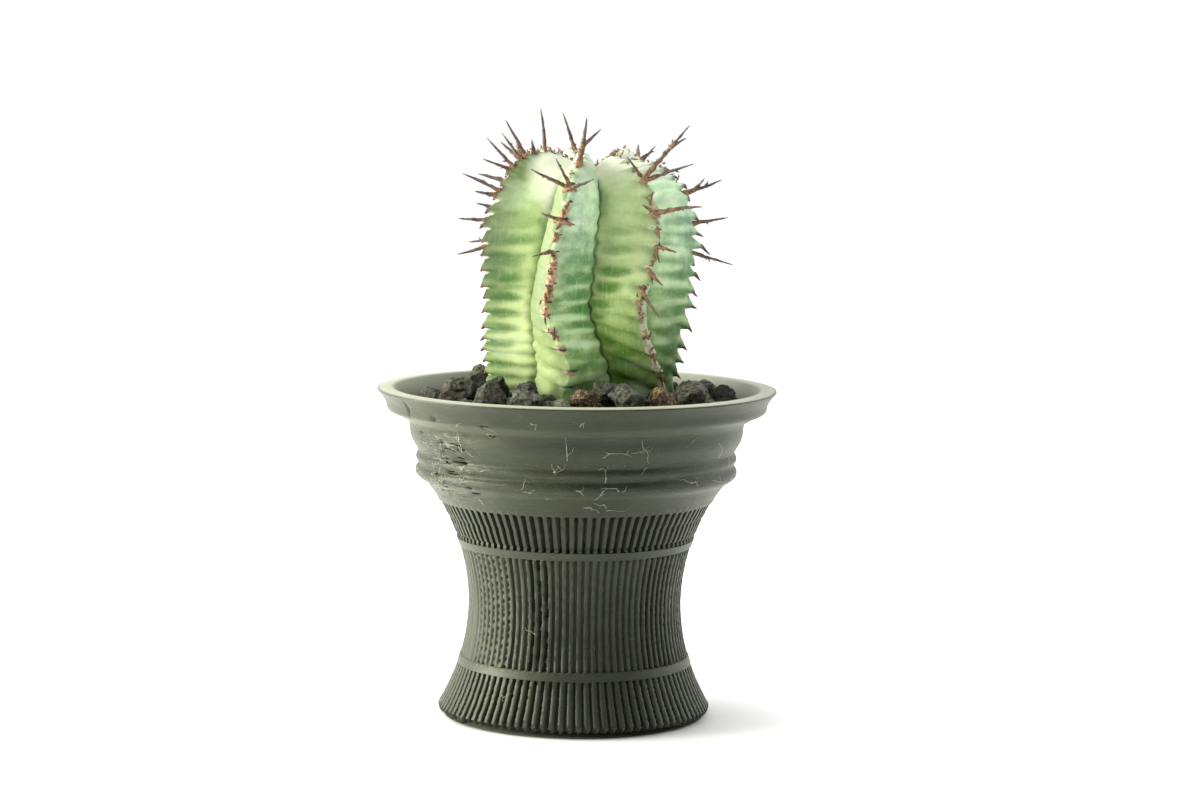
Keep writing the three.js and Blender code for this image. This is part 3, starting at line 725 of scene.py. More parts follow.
# %% [markdown]
# Where two print lines never bonded, a dark gap stays open between them. A gap is a fifth of a millimetre
# high, too fine to carve out of a whole ring of the bowl, so the shade inside it is painted: a level, matt
# black strip that lies in the wall. The nicks get the same strips of painted shade.

# %% Lay painted shade in the gaps between print lines
GAPS_AT_SEAM = 22
GAP_HALF_HEIGHT = 0.11
GAP_STEPS = 10
SUNK_IN_NICK = 0.30
SUNK_AT_SEAM = 0.10
# Ranges of azimuth, height and half length of the gaps at the seam
SEAM_GAPS = [(-65, -43), (48.5, 60.5), (0.4, 1.5)]
GAP_SHADE_TONES = ((0.002, 0.003, 0.002), (0.012, 0.013, 0.009))


def lay_gap_shade():
    random = np.random.default_rng(22)
    heap = Heap()
    gaps = [(azimuth, height, half_length, SUNK_IN_NICK) for azimuth, height, half_length, _ in NICKS[1:]]
    gaps += [(*(random.uniform(*ends) for ends in SEAM_GAPS), SUNK_AT_SEAM) for _ in range(GAPS_AT_SEAM)]
    for azimuth, height, half_length, sunk in gaps:
        along = np.linspace(-1, 1, GAP_STEPS)
        radius = wall_radius(height) - sunk
        path = polar(math.radians(azimuth) + along * half_length / radius, radius, height)
        path[:, 2] += 0.06 * ripple(path, 1.2, 61)
        heap.put(*tube(path, GAP_HALF_HEIGHT * np.sqrt(1.05 - along**2)))
    return heap


# Painted shade: matt black strips where the gaps and nicks fall into shadow
gap_shade_finish = speckled("painted_gap_shade", 2.0, *GAP_SHADE_TONES, roughness=0.95, specular=0.0)
lay_gap_shade().piece("print_gap_shade", gap_shade_finish, "printed_plastic")

# %% [markdown]
# ## Soil
# The potting soil fills the pot below the gravel. Hardly anything of it shows, so the CAD solid stays and
# only gets a crumbly brown finish.

# %% Finish the soil


def potting_soil():
    recipe = Recipe("potting_soil", roughness=0.95, specular=0.1)
    crumbs = recipe.noise(0.9, detail=6, rough=0.7)
    recipe.tone = (0.012, 0.007, 0.004)
    recipe.coat(recipe.band(crumbs, 0.35, 0.65), (0.075, 0.042, 0.022))
    recipe.relief(crumbs, 0.6)
    return recipe


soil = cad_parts["soil"]
soil.data.materials.clear()
soil.data.materials.append(potting_soil().material)

# %% [markdown]
# ## Lava gravel
# The mulch is crushed black lava: chunks of 3 to 9 mm with a few flat broken faces, dull grey where the light
# catches them, and here and there a rusty brown one. A stone is a round ball whose every point is pulled in
# to the nearest of several random cutting planes, which gives real facets, and then roughened. The stones
# that show at the front are placed one by one. Others are scattered by the golden angle, and grit fills the
# gaps.

# %% Break a stone
GRAVEL_AT_WALL = 64.2
GRAVEL_AT_STEM = 68.6
BOWL_WALL_HEIGHTS = [56, 62, 65, 69]
BOWL_WALL_RADII = [30.9, 34.2, 37.4, 38.2]
WALL_GAP = 0.3
FACETS = 18
FACET_DEPTHS = (0.62, 0.95)
SQUASH = (1.0, 0.85, 0.7)


def gravel_height(radius):
    share = np.clip((radius - 18) / 19, 0, 1)
    return mix(GRAVEL_AT_STEM, GRAVEL_AT_WALL, share**1.3)


def inside_bowl(points):
    """Points pulled in towards the axis until they clear the bowl's wall."""
    limit = np.interp(points[:, 2], BOWL_WALL_HEIGHTS, BOWL_WALL_RADII) - WALL_GAP
    points[:, :2] *= np.minimum(1, limit / np.hypot(points[:, 0], points[:, 1]))[:, None]
    return points


def unit_ball(divisions):
    ball = bmesh.new()
    bmesh.ops.create_icosphere(ball, subdivisions=divisions, radius=1.0)
    points = np.array([vertex.co[:] for vertex in ball.verts])
    faces = [[vertex.index for vertex in face.verts] for face in ball.faces]
    ball.free()
    return points, faces


BALLS = {"small": unit_ball(2), "coarse": unit_ball(3), "fine": unit_ball(4)}


def turned_at_random(random):
    turn, _ = np.linalg.qr(random.normal(size=(3, 3)))
    if np.linalg.det(turn) < 0:
        turn[:, 0] *= -1
    return turn


def stone(random, centre, radius, ball="coarse"):
    """Lava chunk about the centre, as points and faces. It stays inside the bowl's wall."""
    directions, faces = BALLS[ball]
    planes = random.normal(size=(FACETS, 3))
    planes /= np.linalg.norm(planes, axis=1, keepdims=True)
    depths = random.uniform(*FACET_DEPTHS, size=FACETS)
    toward = directions @ planes.T
    reach = np.where(toward > 0.05, depths / np.maximum(toward, 0.05), 9.0).min(axis=1)
    reach = np.minimum(reach, 1.05)
    seed = int(random.integers(1 << 30))
    reach *= 1 + 0.06 * ripple(directions, 0.6, seed) + 0.03 * ripple(directions, 0.25, seed + 1)
    shape = directions * reach[:, None] * SQUASH * radius
    return inside_bowl(shape @ turned_at_random(random).T + centre), faces


# %% Place the stones
# The stones that show in front: centre in millimetres, width, and how rusty and how grey they are
FRONT_STONES = [
    ((-21.2, 15.0, 70.2), 4.6, 0.2, 0.3), ((-25.0, -2.0, 69.6), 4.6, 0.1, 0.4),
    ((-21.1, -11.2, 69.6), 6.0, 0.0, 0.1), ((-16.4, -14.5, 70.0), 6.2, 0.0, 0.1),
    ((-10.0, -20.4, 70.4), 5.6, 0.0, 0.2), ((-17.9, -22.0, 68.6), 8.0, 0.08, 0.4),
    ((-10.2, -26.8, 68.7), 7.4, 0.0, 0.9), ((-2.9, -28.5, 68.0), 5.4, 0.0, 0.8),
    ((-6.0, -24.0, 67.4), 4.4, 0.0, 0.6), ((2.2, -27.0, 69.0), 6.2, 1.0, 0.2),
    ((6.5, -21.0, 70.2), 7.6, 0.0, 0.3), ((10.8, -25.5, 69.2), 8.6, 0.0, 0.6),
    ((17.6, -26.0, 68.8), 6.6, 0.9, 0.3), ((22.4, -8.0, 69.4), 5.6, 0.1, 0.4),
    ((23.9, -18.0, 69.0), 8.2, 0.1, 0.6), ((30.4, -9.0, 68.0), 6.4, 0.0, 0.0),
    ((28.3, -20.0, 67.4), 5.0, 0.1, 0.4), ((33.0, -11.0, 66.6), 4.4, 0.0, 0.3),
    ((-26.5, -14.0, 67.8), 5.0, 0.1, 0.3), ((-30.5, -8.0, 67.2), 5.2, 0.1, 0.3),
    ((-29.0, -18.0, 66.8), 4.6, 0.2, 0.3), ((-23.5, -24.0, 66.8), 5.0, 0.0, 0.4),
    ((22.5, -27.0, 66.8), 4.8, 0.1, 0.5), ((27.0, 4.0, 68.4), 6.4, 0.0, 0.4),
]
FRONT_SWELL = 1.12
SCATTERED = 270
GRIT = 760
SCATTER_REACH = (16.5, 36.2)
FARTHEST = 38.0
STEM_CLEARANCE = 0.6
RUSTY_SHARE = 0.07
GOLDEN_ANGLE = math.pi * (3 - math.sqrt(5))


def spread_out(i, count, inner, outer):
    """Distance from the axis at which the stones of a ring-shaped bed lie equally close."""
    return math.sqrt(mix(inner**2, outer**2, (i + 0.5) / count))


def scatter_stones(is_clear):
    """Heaps of placed stones, scattered stones and grit. is_clear says whether a stone misses the stem."""
    random = np.random.default_rng(31)
    placed, scattered, grit = Heap(), Heap(), Heap()
    for centre, width, rust, grey in FRONT_STONES:
        placed.put(*stone(random, centre, width / 2 * FRONT_SWELL, "fine"), rust=rust, grey=grey)
    inner, outer = SCATTER_REACH
    for i in range(SCATTERED):
        distance = spread_out(i, SCATTERED, inner, outer) + random.uniform(-0.7, 0.7)
        azimuth = i * GOLDEN_ANGLE + random.uniform(-0.08, 0.08)
        radius = mix(1.5, 3.4, random.random() ** 1.5)
        distance = min(distance, FARTHEST - radius)
        centre = polar(azimuth, distance, gravel_height(distance) + random.uniform(-0.5, 0.35) * radius)
        rust = random.uniform(0.4, 1.0) if random.random() < RUSTY_SHARE else random.uniform(0, 0.12)
        grey = random.uniform(0, 0.8)
        chunk = stone(random, centre, radius)
        from_placed = min(np.linalg.norm(centre - place) - width / 2 for place, width, *_ in FRONT_STONES)
        if is_clear(azimuth, distance, radius) and from_placed > 0.2 * radius:
            scattered.put(*chunk, rust=rust, grey=grey)
    for i in range(GRIT):
        distance = spread_out(i, GRIT, inner - 3, outer) + random.uniform(-0.5, 0.5)
        azimuth = i * GOLDEN_ANGLE + 1.0
        radius = random.uniform(0.8, 1.7)
        centre = polar(azimuth, distance, gravel_height(distance) - 0.9 + random.uniform(-0.3, 0.5) * radius)
        chunk = stone(random, centre, radius, "small")
        if is_clear(azimuth, distance, radius):
            grit.put(*chunk, rust=random.uniform(0, 0.5) ** 2, grey=random.uniform(0, 0.9))
    return placed, scattered, grit


# %% [markdown]
# Lava is porous: the finish needs pits, a fine grain, and a change of tone from facet to facet. Rusty stones
# get dark brown and tan grains in the same pits.

# %% Finish the gravel
LAVA_BLACK = (0.005, 0.006, 0.004)
LAVA_GREY = ((0.060, 0.064, 0.045), (0.36, 0.38, 0.27))
LAVA_DUST = (0.035, 0.032, 0.024)
LAVA_GLINT = (0.22, 0.22, 0.20)
LAVA_RUST = ((0.070, 0.026, 0.011), (0.56, 0.33, 0.14))


def lava():
    recipe = Recipe("black_lava", roughness=0.7, specular=0.3)
    grain = recipe.noise(1.1, detail=8, rough=0.8)
    recipe.tone = LAVA_BLACK
    recipe.coat(recipe.band(grain, 0.40, 0.62), recipe.blend(recipe.value("grey"), *LAVA_GREY))
    recipe.coat(recipe.band(recipe.noise(0.35), 0.55, 0.75, 0, 0.5), LAVA_DUST)
    # Painted highlights: sparse light specks that stand for glints on the facets
    recipe.coat(recipe.band(recipe.noise(2.6, detail=2), 0.68, 0.74, 0, 0.7), LAVA_GLINT)
    pits = recipe.band(recipe.noise(1.3, detail=8, rough=0.8), 0.44, 0.55, 0.1, 1.0)
    rusty = recipe.blend(recipe.band(recipe.noise(1.9, detail=4), 0.44, 0.62), *LAVA_RUST)
    recipe.coat(recipe.times(pits, recipe.value("rust")), rusty)
    chips = recipe.add("ShaderNodeTexVoronoi", Vector=recipe.place, Scale=0.9, feature="F1", Randomness=1.0)
    dents = recipe.relief(recipe.band(chips, 0.0, 0.6), 0.45)
    recipe.relief(grain, 0.8, under=dents)
    return recipe


lava_finish = lava()

# %% [markdown]
# ## The stem's form
# The stem is a barrel of seven ribs. Each rib has a crest line and shares a valley with the next, and both
# follow meridians from below the gravel over the shoulder to the sunken crown. At the foot the ribs swing
# sideways, as the plant twisted when it was young. We repeat the CAD's curves here, so that the fine skin
# lies on the plain one.

# %% Crest and valley lines
GROUND = 70
CREST_HALF_WIDTH = 0.75
STEM_LEAN = 2.0
SWING_HEIGHT = 18
CROWN_HEIGHT = 113.8
CREST_KNOTS = [
    (18.8, 67), (20.4, 75), (21.6, 84), (22.5, 94), (22.3, 103), (20.3, 111), (16.8, 116.4), (11.5, 118.7),
    (6.5, 117.2), (2.6, 114.8),
]
VALLEY_KNOTS = [
    (13.6, 67), (14.6, 75), (15.3, 84), (15.7, 94), (15.3, 103), (13.8, 109.4), (11, 112.6), (7.4, 114),
    (4.3, 114.2), (1.9, 113.9),
]
ROOT_RINGS = [(4, 50), (8.5, 55), (13, 61)]
# Each rib: azimuth, swing at the gravel, swing at the crown, and how far its crest reaches past the others'
RIBS = {
    "left": (-82, 0, 0, -0.5),
    "frontLeft": (-25, 20, 14, 0.0),
    "frontRight": (31, 31, 0, 0.2),
    "right": (89, 14, -3, -0.6),
    "backRight": (142, 12, 0, 0.0),
    "back": (196, 6, 0, 0.1),
    "backLeft": (238, 4, 2, -0.1),
}
RIB_NAMES = list(RIBS)
# How the crests of the two front ribs sway sideways, in degrees, at climbs in millimetres
SWAYS = {
    "frontLeft": (
        [-3, 0, 5, 9, 12, 16, 19, 22, 26, 30, 34, 38, 41.5, 46, 49, 54],
        [-5, -4, 3.5, 3, 2.7, 1.5, 2.3, 4.5, 5.6, 6.4, 8, 10.5, 9.5, 6.5, 5.5, 3],
    ),
    "frontRight": (
        [-3, 0, 4, 8, 12, 16, 19, 22, 26, 30, 34.5, 40, 43, 45, 50],
        [3, 2, -5, -6.5, -3.8, -1.5, -3.5, -0.5, 2.9, 6.7, 7, 6.5, 7, 4.5, 0],
    ),
}
# How much further out or in a crest reaches than its rib's plain curve, in millimetres, at climbs
REACHES = {
    "left": ([30, 36, 42, 50], [0, -0.3, -1.3, -1.2]),
    "right": ([-3, 4, 10, 24, 32, 37, 42, 48, 54], [2.0, 1.6, 0.3, 0, 0.6, 0.7, 0.2, -0.6, -0.6]),
}
# How much lower a crest lies at the crown
CROWN_DROPS = {"frontRight": 0.6, "right": 1.5}
# Where between two crests their valley lies: nearer the first below 0.5
VALLEY_SHARES = {
    "left": ([10, 20, 32, 45], [0.60, 0.62, 0.76, 0.76]),
    "frontLeft": ([14, 30], [0.50, 0.42]),
    "frontRight": ([0], [0.36]),
}
CURVE_STEPS = 60

crest_curve = catmull_rom(CREST_KNOTS, CURVE_STEPS)
valley_curve = catmull_rom(VALLEY_KNOTS, CURVE_STEPS)
crest_run = run_of(crest_curve)
curve_marks = np.arange(len(crest_run))
BELOW_GROUND = GROUND - CREST_KNOTS[0][1]
RIB_LENGTH = crest_run[-1] - BELOW_GROUND
print("A rib is", round(RIB_LENGTH, 1), "mm long from the gravel to the crown")


def along_rib(climb):
    """Share of the curve's knots passed, crest and valley at a distance in millimetres along the crest."""
    where = np.interp(climb + BELOW_GROUND, crest_run, curve_marks)
    crest, valley = (on_curve(curve, curve_marks, where) for curve in (crest_curve, valley_curve))
    return where / curve_marks[-1], crest, valley


def from_table(table, name, climb, otherwise=0.0):
    """Number that a table gives for a rib at a climb."""
    return np.interp(climb, *table.get(name, ([0], [otherwise])))


def rib_azimuth(name, climb, progress, height):
    azimuth, foot_swing, crown_swing, _ = RIBS[name]
    foot = foot_swing * (1 - smoothstep(height, GROUND, GROUND + SWING_HEIGHT))
    crown = crown_swing * np.clip((progress - 0.4) / 0.3, 0, 1) ** 2
    return np.radians(azimuth + foot + crown + from_table(SWAYS, name, climb))


def crest_reach(name, climb):
    """How far a crest stands out or in from the plain curve."""
    return RIBS[name][3] + from_table(REACHES, name, climb)


def crown_drop(name, climb):
    return CROWN_DROPS.get(name, 0.0) * smoothstep(climb, 40, 50)


def lean_at(height):
    return STEM_LEAN * smoothstep(height, GROUND - 2, GROUND + 20)


def crest_point(name, climb):
    climb = min(climb, RIB_LENGTH)
    progress, crest, _ = along_rib(climb)
    azimuth = rib_azimuth(name, climb, progress, crest[1])
    point = polar(azimuth, crest[0] + crest_reach(name, climb), crest[1] - crown_drop(name, climb))
    return point + [lean_at(crest[1]), 0, 0]


# %% [markdown]
# A rib is a row of fused knobs, one to each tooth. On its crest every knob ends in a small tooth that hooks
# down, on its faces it shows as a soft level swelling with a furrow below, and in the valley the knobs of two
# ribs meet in a sharp, wavy line. All of that is one height field over the plain skin, pushed out along the
# skin's own normals. A sculpted or simulated skin could look as good, but the formula can be read, and it
# repeats exactly.

# %% Build the ribbed skin
FACE_SHARES = [
    0.03, 0.06, 0.10, 0.15, 0.21, 0.28, 0.36, 0.45, 0.54, 0.63, 0.71, 0.79, 0.86, 0.92, 0.96, 0.985, 1.0,
]
ROW_STEP = 0.22
SHOULDER_SHARES = (0.0, 0.55, 1.0)
# Where the front ribs have their teeth, in millimetres along the crest from the gravel
TOOTH_PLACES = {
    "left": [0.1, 2.7, 5.2, 7.6, 9.9, 12.3, 15.7, 18.5, 20.9, 24.3, 27.4, 30.3, 33.4, 36.6, 39.4, 42.3],
    "frontLeft": [1.8, 5.2, 9.5, 13.0, 16.7, 19.5, 22.8, 26.3, 29.9, 33.1, 36.5, 39.9, 43.2],
    "frontRight": [0.2, 4.2, 8.4, 12.5, 16.5, 19.8, 23.1, 27.0, 31.2, 34.8, 37.9, 41.5, 45.2],
    "right": [1.8, 4.8, 8.0, 12.4, 16.9, 19.9, 23.5, 25.8, 29.4, 32.1, 35.4, 39.6, 42.6],
}
RIGHT_TOOTH_SIZES = [0.9, 0.9, 0.9, 1.0, 1.0, 0.9, 0.8, 1.0, 0.5, 1.4, 0.8, 0.8, 0.5, 0.9]
MOST_TEETH = 40
BACK_TOOTH_STEP = 4.0
CROWN_TOOTH_STEP = 2.9
TOOTH_RISE = {
    "left": 1.3, "frontLeft": 0.9, "frontRight": 1.1, "right": 1.8,
    "backRight": 1.8, "back": 1.7, "backLeft": 1.7,
}
# Shares of the way from one tooth's tip to the next: where the tooth ends, and where the furrow lies
NOTCH = 0.8
FURROW = 0.84
TOOTH_WIDTH = 0.13


@dataclass
class Face:
    """One side of a rib.

    cream and gain have four numbers: near the crest and near the valley low down, then the
    same two high up. wax and climb (how far the furrows slant) have one for low down and one for high up.
    gain is painted light and shade: a brightness that lightens or darkens the face to make up for how much
    light the lamps give it. pale is painted shade: how much of a darker tone the face wears where the left
    lamp strikes it hardest.
    """

    cream: tuple
    wax: tuple
    wedge: float
    band: float
    climb: tuple
    bulge: float = 0.55
    folds: float = 0.0
    swell: float = 0.08
    pale: float = 0.0
    gain: tuple = (1.0, 1.0, 1.0, 1.0)


FACES = {
    ("left", -1): Face((0.2, 0.3, 0.1, 0.1), (0.30, 0.60), 0.6, 0.35, (0.3, 0.4)),
    ("left", 1): Face(
        (0.15, 1.0, 0.0, 0.5), (0.00, 0.10), 0.85, 0.5, (0.1, 0.5), swell=0.06, gain=(0.52, 0.83, 0.28, 0.86)
    ),
    ("frontLeft", -1): Face(
        (0.55, 0.5, 0.1, 0.1), (0.00, 0.10), 0.0, 0.08, (0.9, 0.3), swell=0.05, pale=0.95,
        gain=(0.70, 0.63, 0.92, 0.68),
    ),
    ("frontLeft", 1): Face(
        (0.0, 0.0, 0.0, 0.0), (0.28, 1.00), 0.6, 0.35, (0.9, 0.4), swell=0.10, gain=(1.62, 1.70, 1.35, 1.60)
    ),
    ("frontRight", -1): Face(
        (0.06, 0.0, 0.72, 0.50), (0.00, 0.22), 0.35, 0.22, (1.2, 0.1), folds=1.0, swell=0.04,
        gain=(1.28, 1.30, 0.90, 0.90),
    ),
    ("frontRight", 1): Face((0.2, 0.3, 0.2, 0.3), (0.60, 0.80), 0.2, 0.30, (0.5, 0.4), bulge=-0.4),
    ("right", -1): Face(
        (0.0, 0.1, 0.0, 0.1), (0.35, 1.00), 0.9, 0.60, (1.6, 0.6), swell=0.11, gain=(0.95, 1.40, 1.25, 1.45)
    ),
}
BACK_FACE = Face(
    (0.1, 0.2, 0.05, 0.1), (0.25, 0.60), 0.8, 0.50, (0.5, 0.4), folds=0.3, gain=(0.8, 0.85, 0.8, 0.9)
)


def tooth_places(name):
    """Climbs of all the teeth of a rib, from below the gravel to the crown, where they crowd."""
    random = np.random.default_rng(100 + RIB_NAMES.index(name))
    regular = np.arange(0.5 + 3 * random.random(), 43, BACK_TOOTH_STEP)
    places = list(TOOTH_PLACES.get(name, regular + random.uniform(-0.4, 0.4, len(regular))))
    places.insert(0, places[0] - 4)
    step = CROWN_TOOTH_STEP
    while places[-1] < RIB_LENGTH:
        places.append(places[-1] + step)
        step = max(0.93 * step, 1.6)
    return np.array(places)


def fold_at(name, climb):
    """Number of teeth passed at a climb: whole at each tooth's tip."""
    places = tooth_places(name)
    return np.interp(climb, places, np.arange(len(places)))


def tooth_sizes(name):
    """Size of each tooth of a rib against its plain size, in the order of their places."""
    sizes = np.random.default_rng(200 + RIB_NAMES.index(name)).uniform(0.65, 1.25, MOST_TEETH)
    if name == "right":
        sizes[: len(RIGHT_TOOTH_SIZES)] = RIGHT_TOOTH_SIZES
    return sizes


def skin_columns():
    """Each column round the stem: rib, whose face, share from crest to valley, shoulder, side."""
    columns = []
    for i, name in enumerate(RIB_NAMES):
        following = RIB_NAMES[(i + 1) % len(RIB_NAMES)]
        columns += [(i, name, 0.0, shoulder, 1) for shoulder in SHOULDER_SHARES]
        columns += [(i, name, share, 1.0, 1) for share in FACE_SHARES]
        columns += [(i, following, share, 1.0, -1) for share in FACE_SHARES[-2::-1]]
        columns += [(i, following, 0.0, shoulder, -1) for shoulder in SHOULDER_SHARES[:0:-1]]
    return columns


def knob_relief(name, face, share, shoulder, climbs, fold):
    """How far the skin stands off the plain rib. turn goes from 0 at a tooth's tip to 1 at the next."""
    turn = fold % 1
    flap = np.where(turn < NOTCH, np.clip(1 - turn / NOTCH, 0, 1) ** 1.2, smoothstep(turn, NOTCH, 1.0))
    rise = TOOTH_RISE[name] * mix(1.0, 0.5, smoothstep(climbs, 40, 56)) * mix(1.0, 0.85, shoulder)
    own_size = tooth_sizes(name)[np.clip((fold + 1 - NOTCH).astype(int), 0, MOST_TEETH - 1)]
    tooth = rise * (own_size * flap - 0.5) * hump(share, 0, TOOTH_WIDTH)
    knob = np.abs(np.cos(math.pi * (turn - FURROW + 0.5))) ** 0.8
    age = mix(1.6, 0.3, smoothstep(climbs, 2, 30))
    swell = 2.2 * face.swell * age * (knob - 0.65)
    deep = 1.5 * face.folds * (1 - smoothstep(climbs, 9, 17)) * math.sin(math.pi * min(share * 1.05, 1.0))
    lip = 0.22 * hump(share, 0.88, 0.08) - 0.33 * hump(share, 1, 0.025)
    return tooth + swell + deep * (knob**0.7 - 0.8) + lip + face.bulge * math.sin(math.pi * share)


def ribbed_skin():
    """Skin as rows of points up the stem, what is known of each point, and the rows' climbs."""
    climbs = np.arange(-BELOW_GROUND, RIB_LENGTH, ROW_STEP)
    progress, crest, valley = along_rib(climbs)
    azimuths = [rib_azimuth(name, climbs, progress, crest[:, 1]) for name in RIB_NAMES]
    azimuths.append(azimuths[0] + TURN)
    folds = {name: fold_at(name, climbs) for name in RIB_NAMES}
    points, relief, facts = [], [], []
    for i, name, share, shoulder, side in skin_columns():
        here, there = azimuths[i], azimuths[i + 1]
        between = mix(here, there, from_table(VALLEY_SHARES, RIB_NAMES[i], climbs, otherwise=0.5))
        half_width = np.minimum(CREST_HALF_WIDTH / crest[:, 0], 0.15 * (there - here)) * shoulder
        own = here + half_width if side > 0 else there - half_width
        face = FACES.get((name, side), BACK_FACE)
        fold = folds[name] - mix(*face.climb, smoothstep(climbs, 6, 26)) * share
        wave = 0.018 * np.sin(TURN * folds[RIB_NAMES[i]]) * smoothstep(share, 0.7, 1.0)
        wave = wave * mix(1.0, 0.3, smoothstep(climbs, 24, 44))
        reach = crest_reach(name, climbs) * min(1.0, 2 * (1 - share)) + 0.2 * (1 - shoulder)
        radius = mix(crest[:, 0], valley[:, 0], share) + reach
        height = mix(crest[:, 1] - crown_drop(name, climbs), valley[:, 1], share)
        column = polar(mix(own, between, share) + wave, radius, height)
        column[:, 0] += lean_at(height)
        points.append(column)
        relief.append(knob_relief(name, face, share, shoulder, climbs, fold))
        facts.append(np.broadcast_arrays(share, climbs, fold % 1, side, RIB_NAMES.index(name)))
    grid = np.stack(points, axis=1)
    round_it = np.roll(grid, -1, axis=1) - np.roll(grid, 1, axis=1)
    normal = np.cross(round_it, np.gradient(grid, axis=0))
    normal /= np.linalg.norm(normal, axis=2, keepdims=True)
    calm = 1 - smoothstep(progress, 0.90, 1.0)[:, None]
    relief = (np.stack(relief, axis=1) + 0.10 * ripple(grid, 4.0, 4) + 0.04 * ripple(grid, 1.3, 9)) * calm
    return grid + normal * relief[..., None], np.array(facts, float).transpose(1, 2, 0), climbs


# Of each point: share from crest to valley, climb, place between two teeth, and side and number of its rib
skin_grid, (across, climb, turn, side, rib), skin_climbs = ribbed_skin()
print("Skin has", skin_grid.shape[0], "rows of", skin_grid.shape[1], "points")

# %% [markdown]
# Below the gravel the ribs run into a round root neck, so the skin closes there, and at the crown it closes
# on one point. Each point carries the numbers that the finish needs: how far it lies from crest to valley,
# and how much of each tone it wears. Faces turned to the left are yellow-green to cream, and faces turned to
# the right wear more of the blue-grey wax that the whole plant grows when it is young. Bands follow the
# furrows, and the larger dark and light patches of the faces that show are placed one by one. So is the dry
# cork on the two front crests, which bleaches where the light is strongest.

# %% Close the skin and give each face its tones
# Patches on the faces that show: climb, share, half their height in millimetres, half their share, and how
# dark they are. Below 0 they are light. Most follow the skin's own mottling, but the dark ones at about 41 mm
# near the valleys of left and frontRight are painted shade, and the light ones low down on the right face of
# frontLeft are painted light where the lamps and the valley leave it dim.
PATCHES = {
    ("left", 1): [
        (5.0, 0.25, 0.8, 0.45, 0.6), (9.2, 0.2, 0.8, 0.4, 0.6), (12.9, 0.3, 0.7, 0.4, 0.5),
        (15.6, 0.35, 0.9, 0.4, 0.7), (19.3, 0.3, 1.1, 0.42, 0.8), (23.3, 0.35, 1.2, 0.45, 0.8),
        (26.8, 0.3, 1.5, 0.42, 0.75), (31.2, 0.4, 1.2, 0.4, 0.6), (35.5, 0.5, 1.2, 0.4, 0.35),
        (41.5, 0.85, 4.0, 0.22, 0.3), (2.2, 0.75, 0.6, 0.3, 0.35), (41.0, 0.3, 3.0, 0.35, -0.35),
        (7.2, 0.45, 0.9, 0.35, -0.3), (10.5, 0.45, 0.8, 0.35, -0.4),
    ],
    ("frontLeft", 1): [
        (31.9, 0.55, 1.2, 0.4, 0.3), (27.8, 0.6, 1.2, 0.42, 0.65), (24.0, 0.55, 1.3, 0.42, 0.75),
        (20.6, 0.62, 1.2, 0.36, 0.75), (17.4, 0.75, 1.3, 0.36, 0.85), (14.2, 0.7, 0.8, 0.36, 0.75),
        (12.6, 0.7, 0.6, 0.3, 0.6), (7.7, 0.35, 0.7, 0.4, 0.5), (5.6, 0.6, 0.8, 0.5, 0.6),
        (1.6, 0.5, 0.9, 0.4, 0.6), (19.0, 0.1, 1.4, 0.14, 0.5), (3.6, 0.55, 0.9, 0.36, -0.35),
        (10.2, 0.42, 0.9, 0.38, -0.55), (12.9, 0.45, 0.6, 0.4, -0.4), (15.9, 0.4, 0.7, 0.36, -0.4),
        (18.9, 0.5, 0.5, 0.36, -0.25), (22.3, 0.6, 0.4, 0.36, -0.2), (43.5, 0.45, 3.0, 0.45, -0.4),
        (34.5, 0.8, 2.5, 0.2, -0.25), (39.0, 0.5, 2.2, 0.45, -0.3),
    ],
    ("frontRight", -1): [
        (33.2, 0.6, 0.9, 0.26, 0.35), (29.5, 0.55, 0.9, 0.28, 0.5), (25.2, 0.58, 1.1, 0.32, 0.75),
        (22.0, 0.62, 1.2, 0.27, 0.8), (18.6, 0.72, 0.9, 0.28, 0.7), (16.2, 0.88, 0.8, 0.2, 0.6),
        (41.0, 0.9, 5.0, 0.16, 0.4), (11.5, 0.8, 1.6, 0.25, 0.6), (8.6, 0.45, 0.7, 0.4, 0.6),
        (4.0, 0.7, 2.4, 0.3, 0.6), (6.7, 0.58, 0.8, 0.25, 0.5), (6.0, 0.35, 1.0, 0.3, -0.15),
        (1.0, 0.45, 1.4, 0.18, -0.4),
    ],
    ("right", -1): [
        (35.0, 0.35, 1.0, 0.3, 0.5), (31.5, 0.2, 1.3, 0.22, 0.6), (26.8, 0.3, 0.8, 0.25, 0.45),
        (24.0, 0.25, 1.3, 0.28, 0.7), (20.0, 0.4, 0.9, 0.35, 0.65), (16.5, 0.3, 1.1, 0.35, 0.7),
        (12.5, 0.35, 1.1, 0.4, 0.75), (8.0, 0.4, 1.2, 0.45, 0.75), (3.5, 0.4, 1.4, 0.45, 0.75),
        (43.0, 0.45, 3.0, 0.35, -0.4), (38.0, 0.6, 1.6, 0.3, -0.4), (28.9, 0.6, 0.9, 0.35, -0.5),
        (22.0, 0.55, 0.7, 0.35, -0.35), (18.2, 0.5, 0.6, 0.35, -0.3), (14.4, 0.5, 0.7, 0.35, -0.3),
        (10.2, 0.55, 0.7, 0.35, -0.3), (33.4, 0.6, 0.8, 0.35, -0.35), (25.6, 0.65, 0.8, 0.3, -0.3),
    ],
}
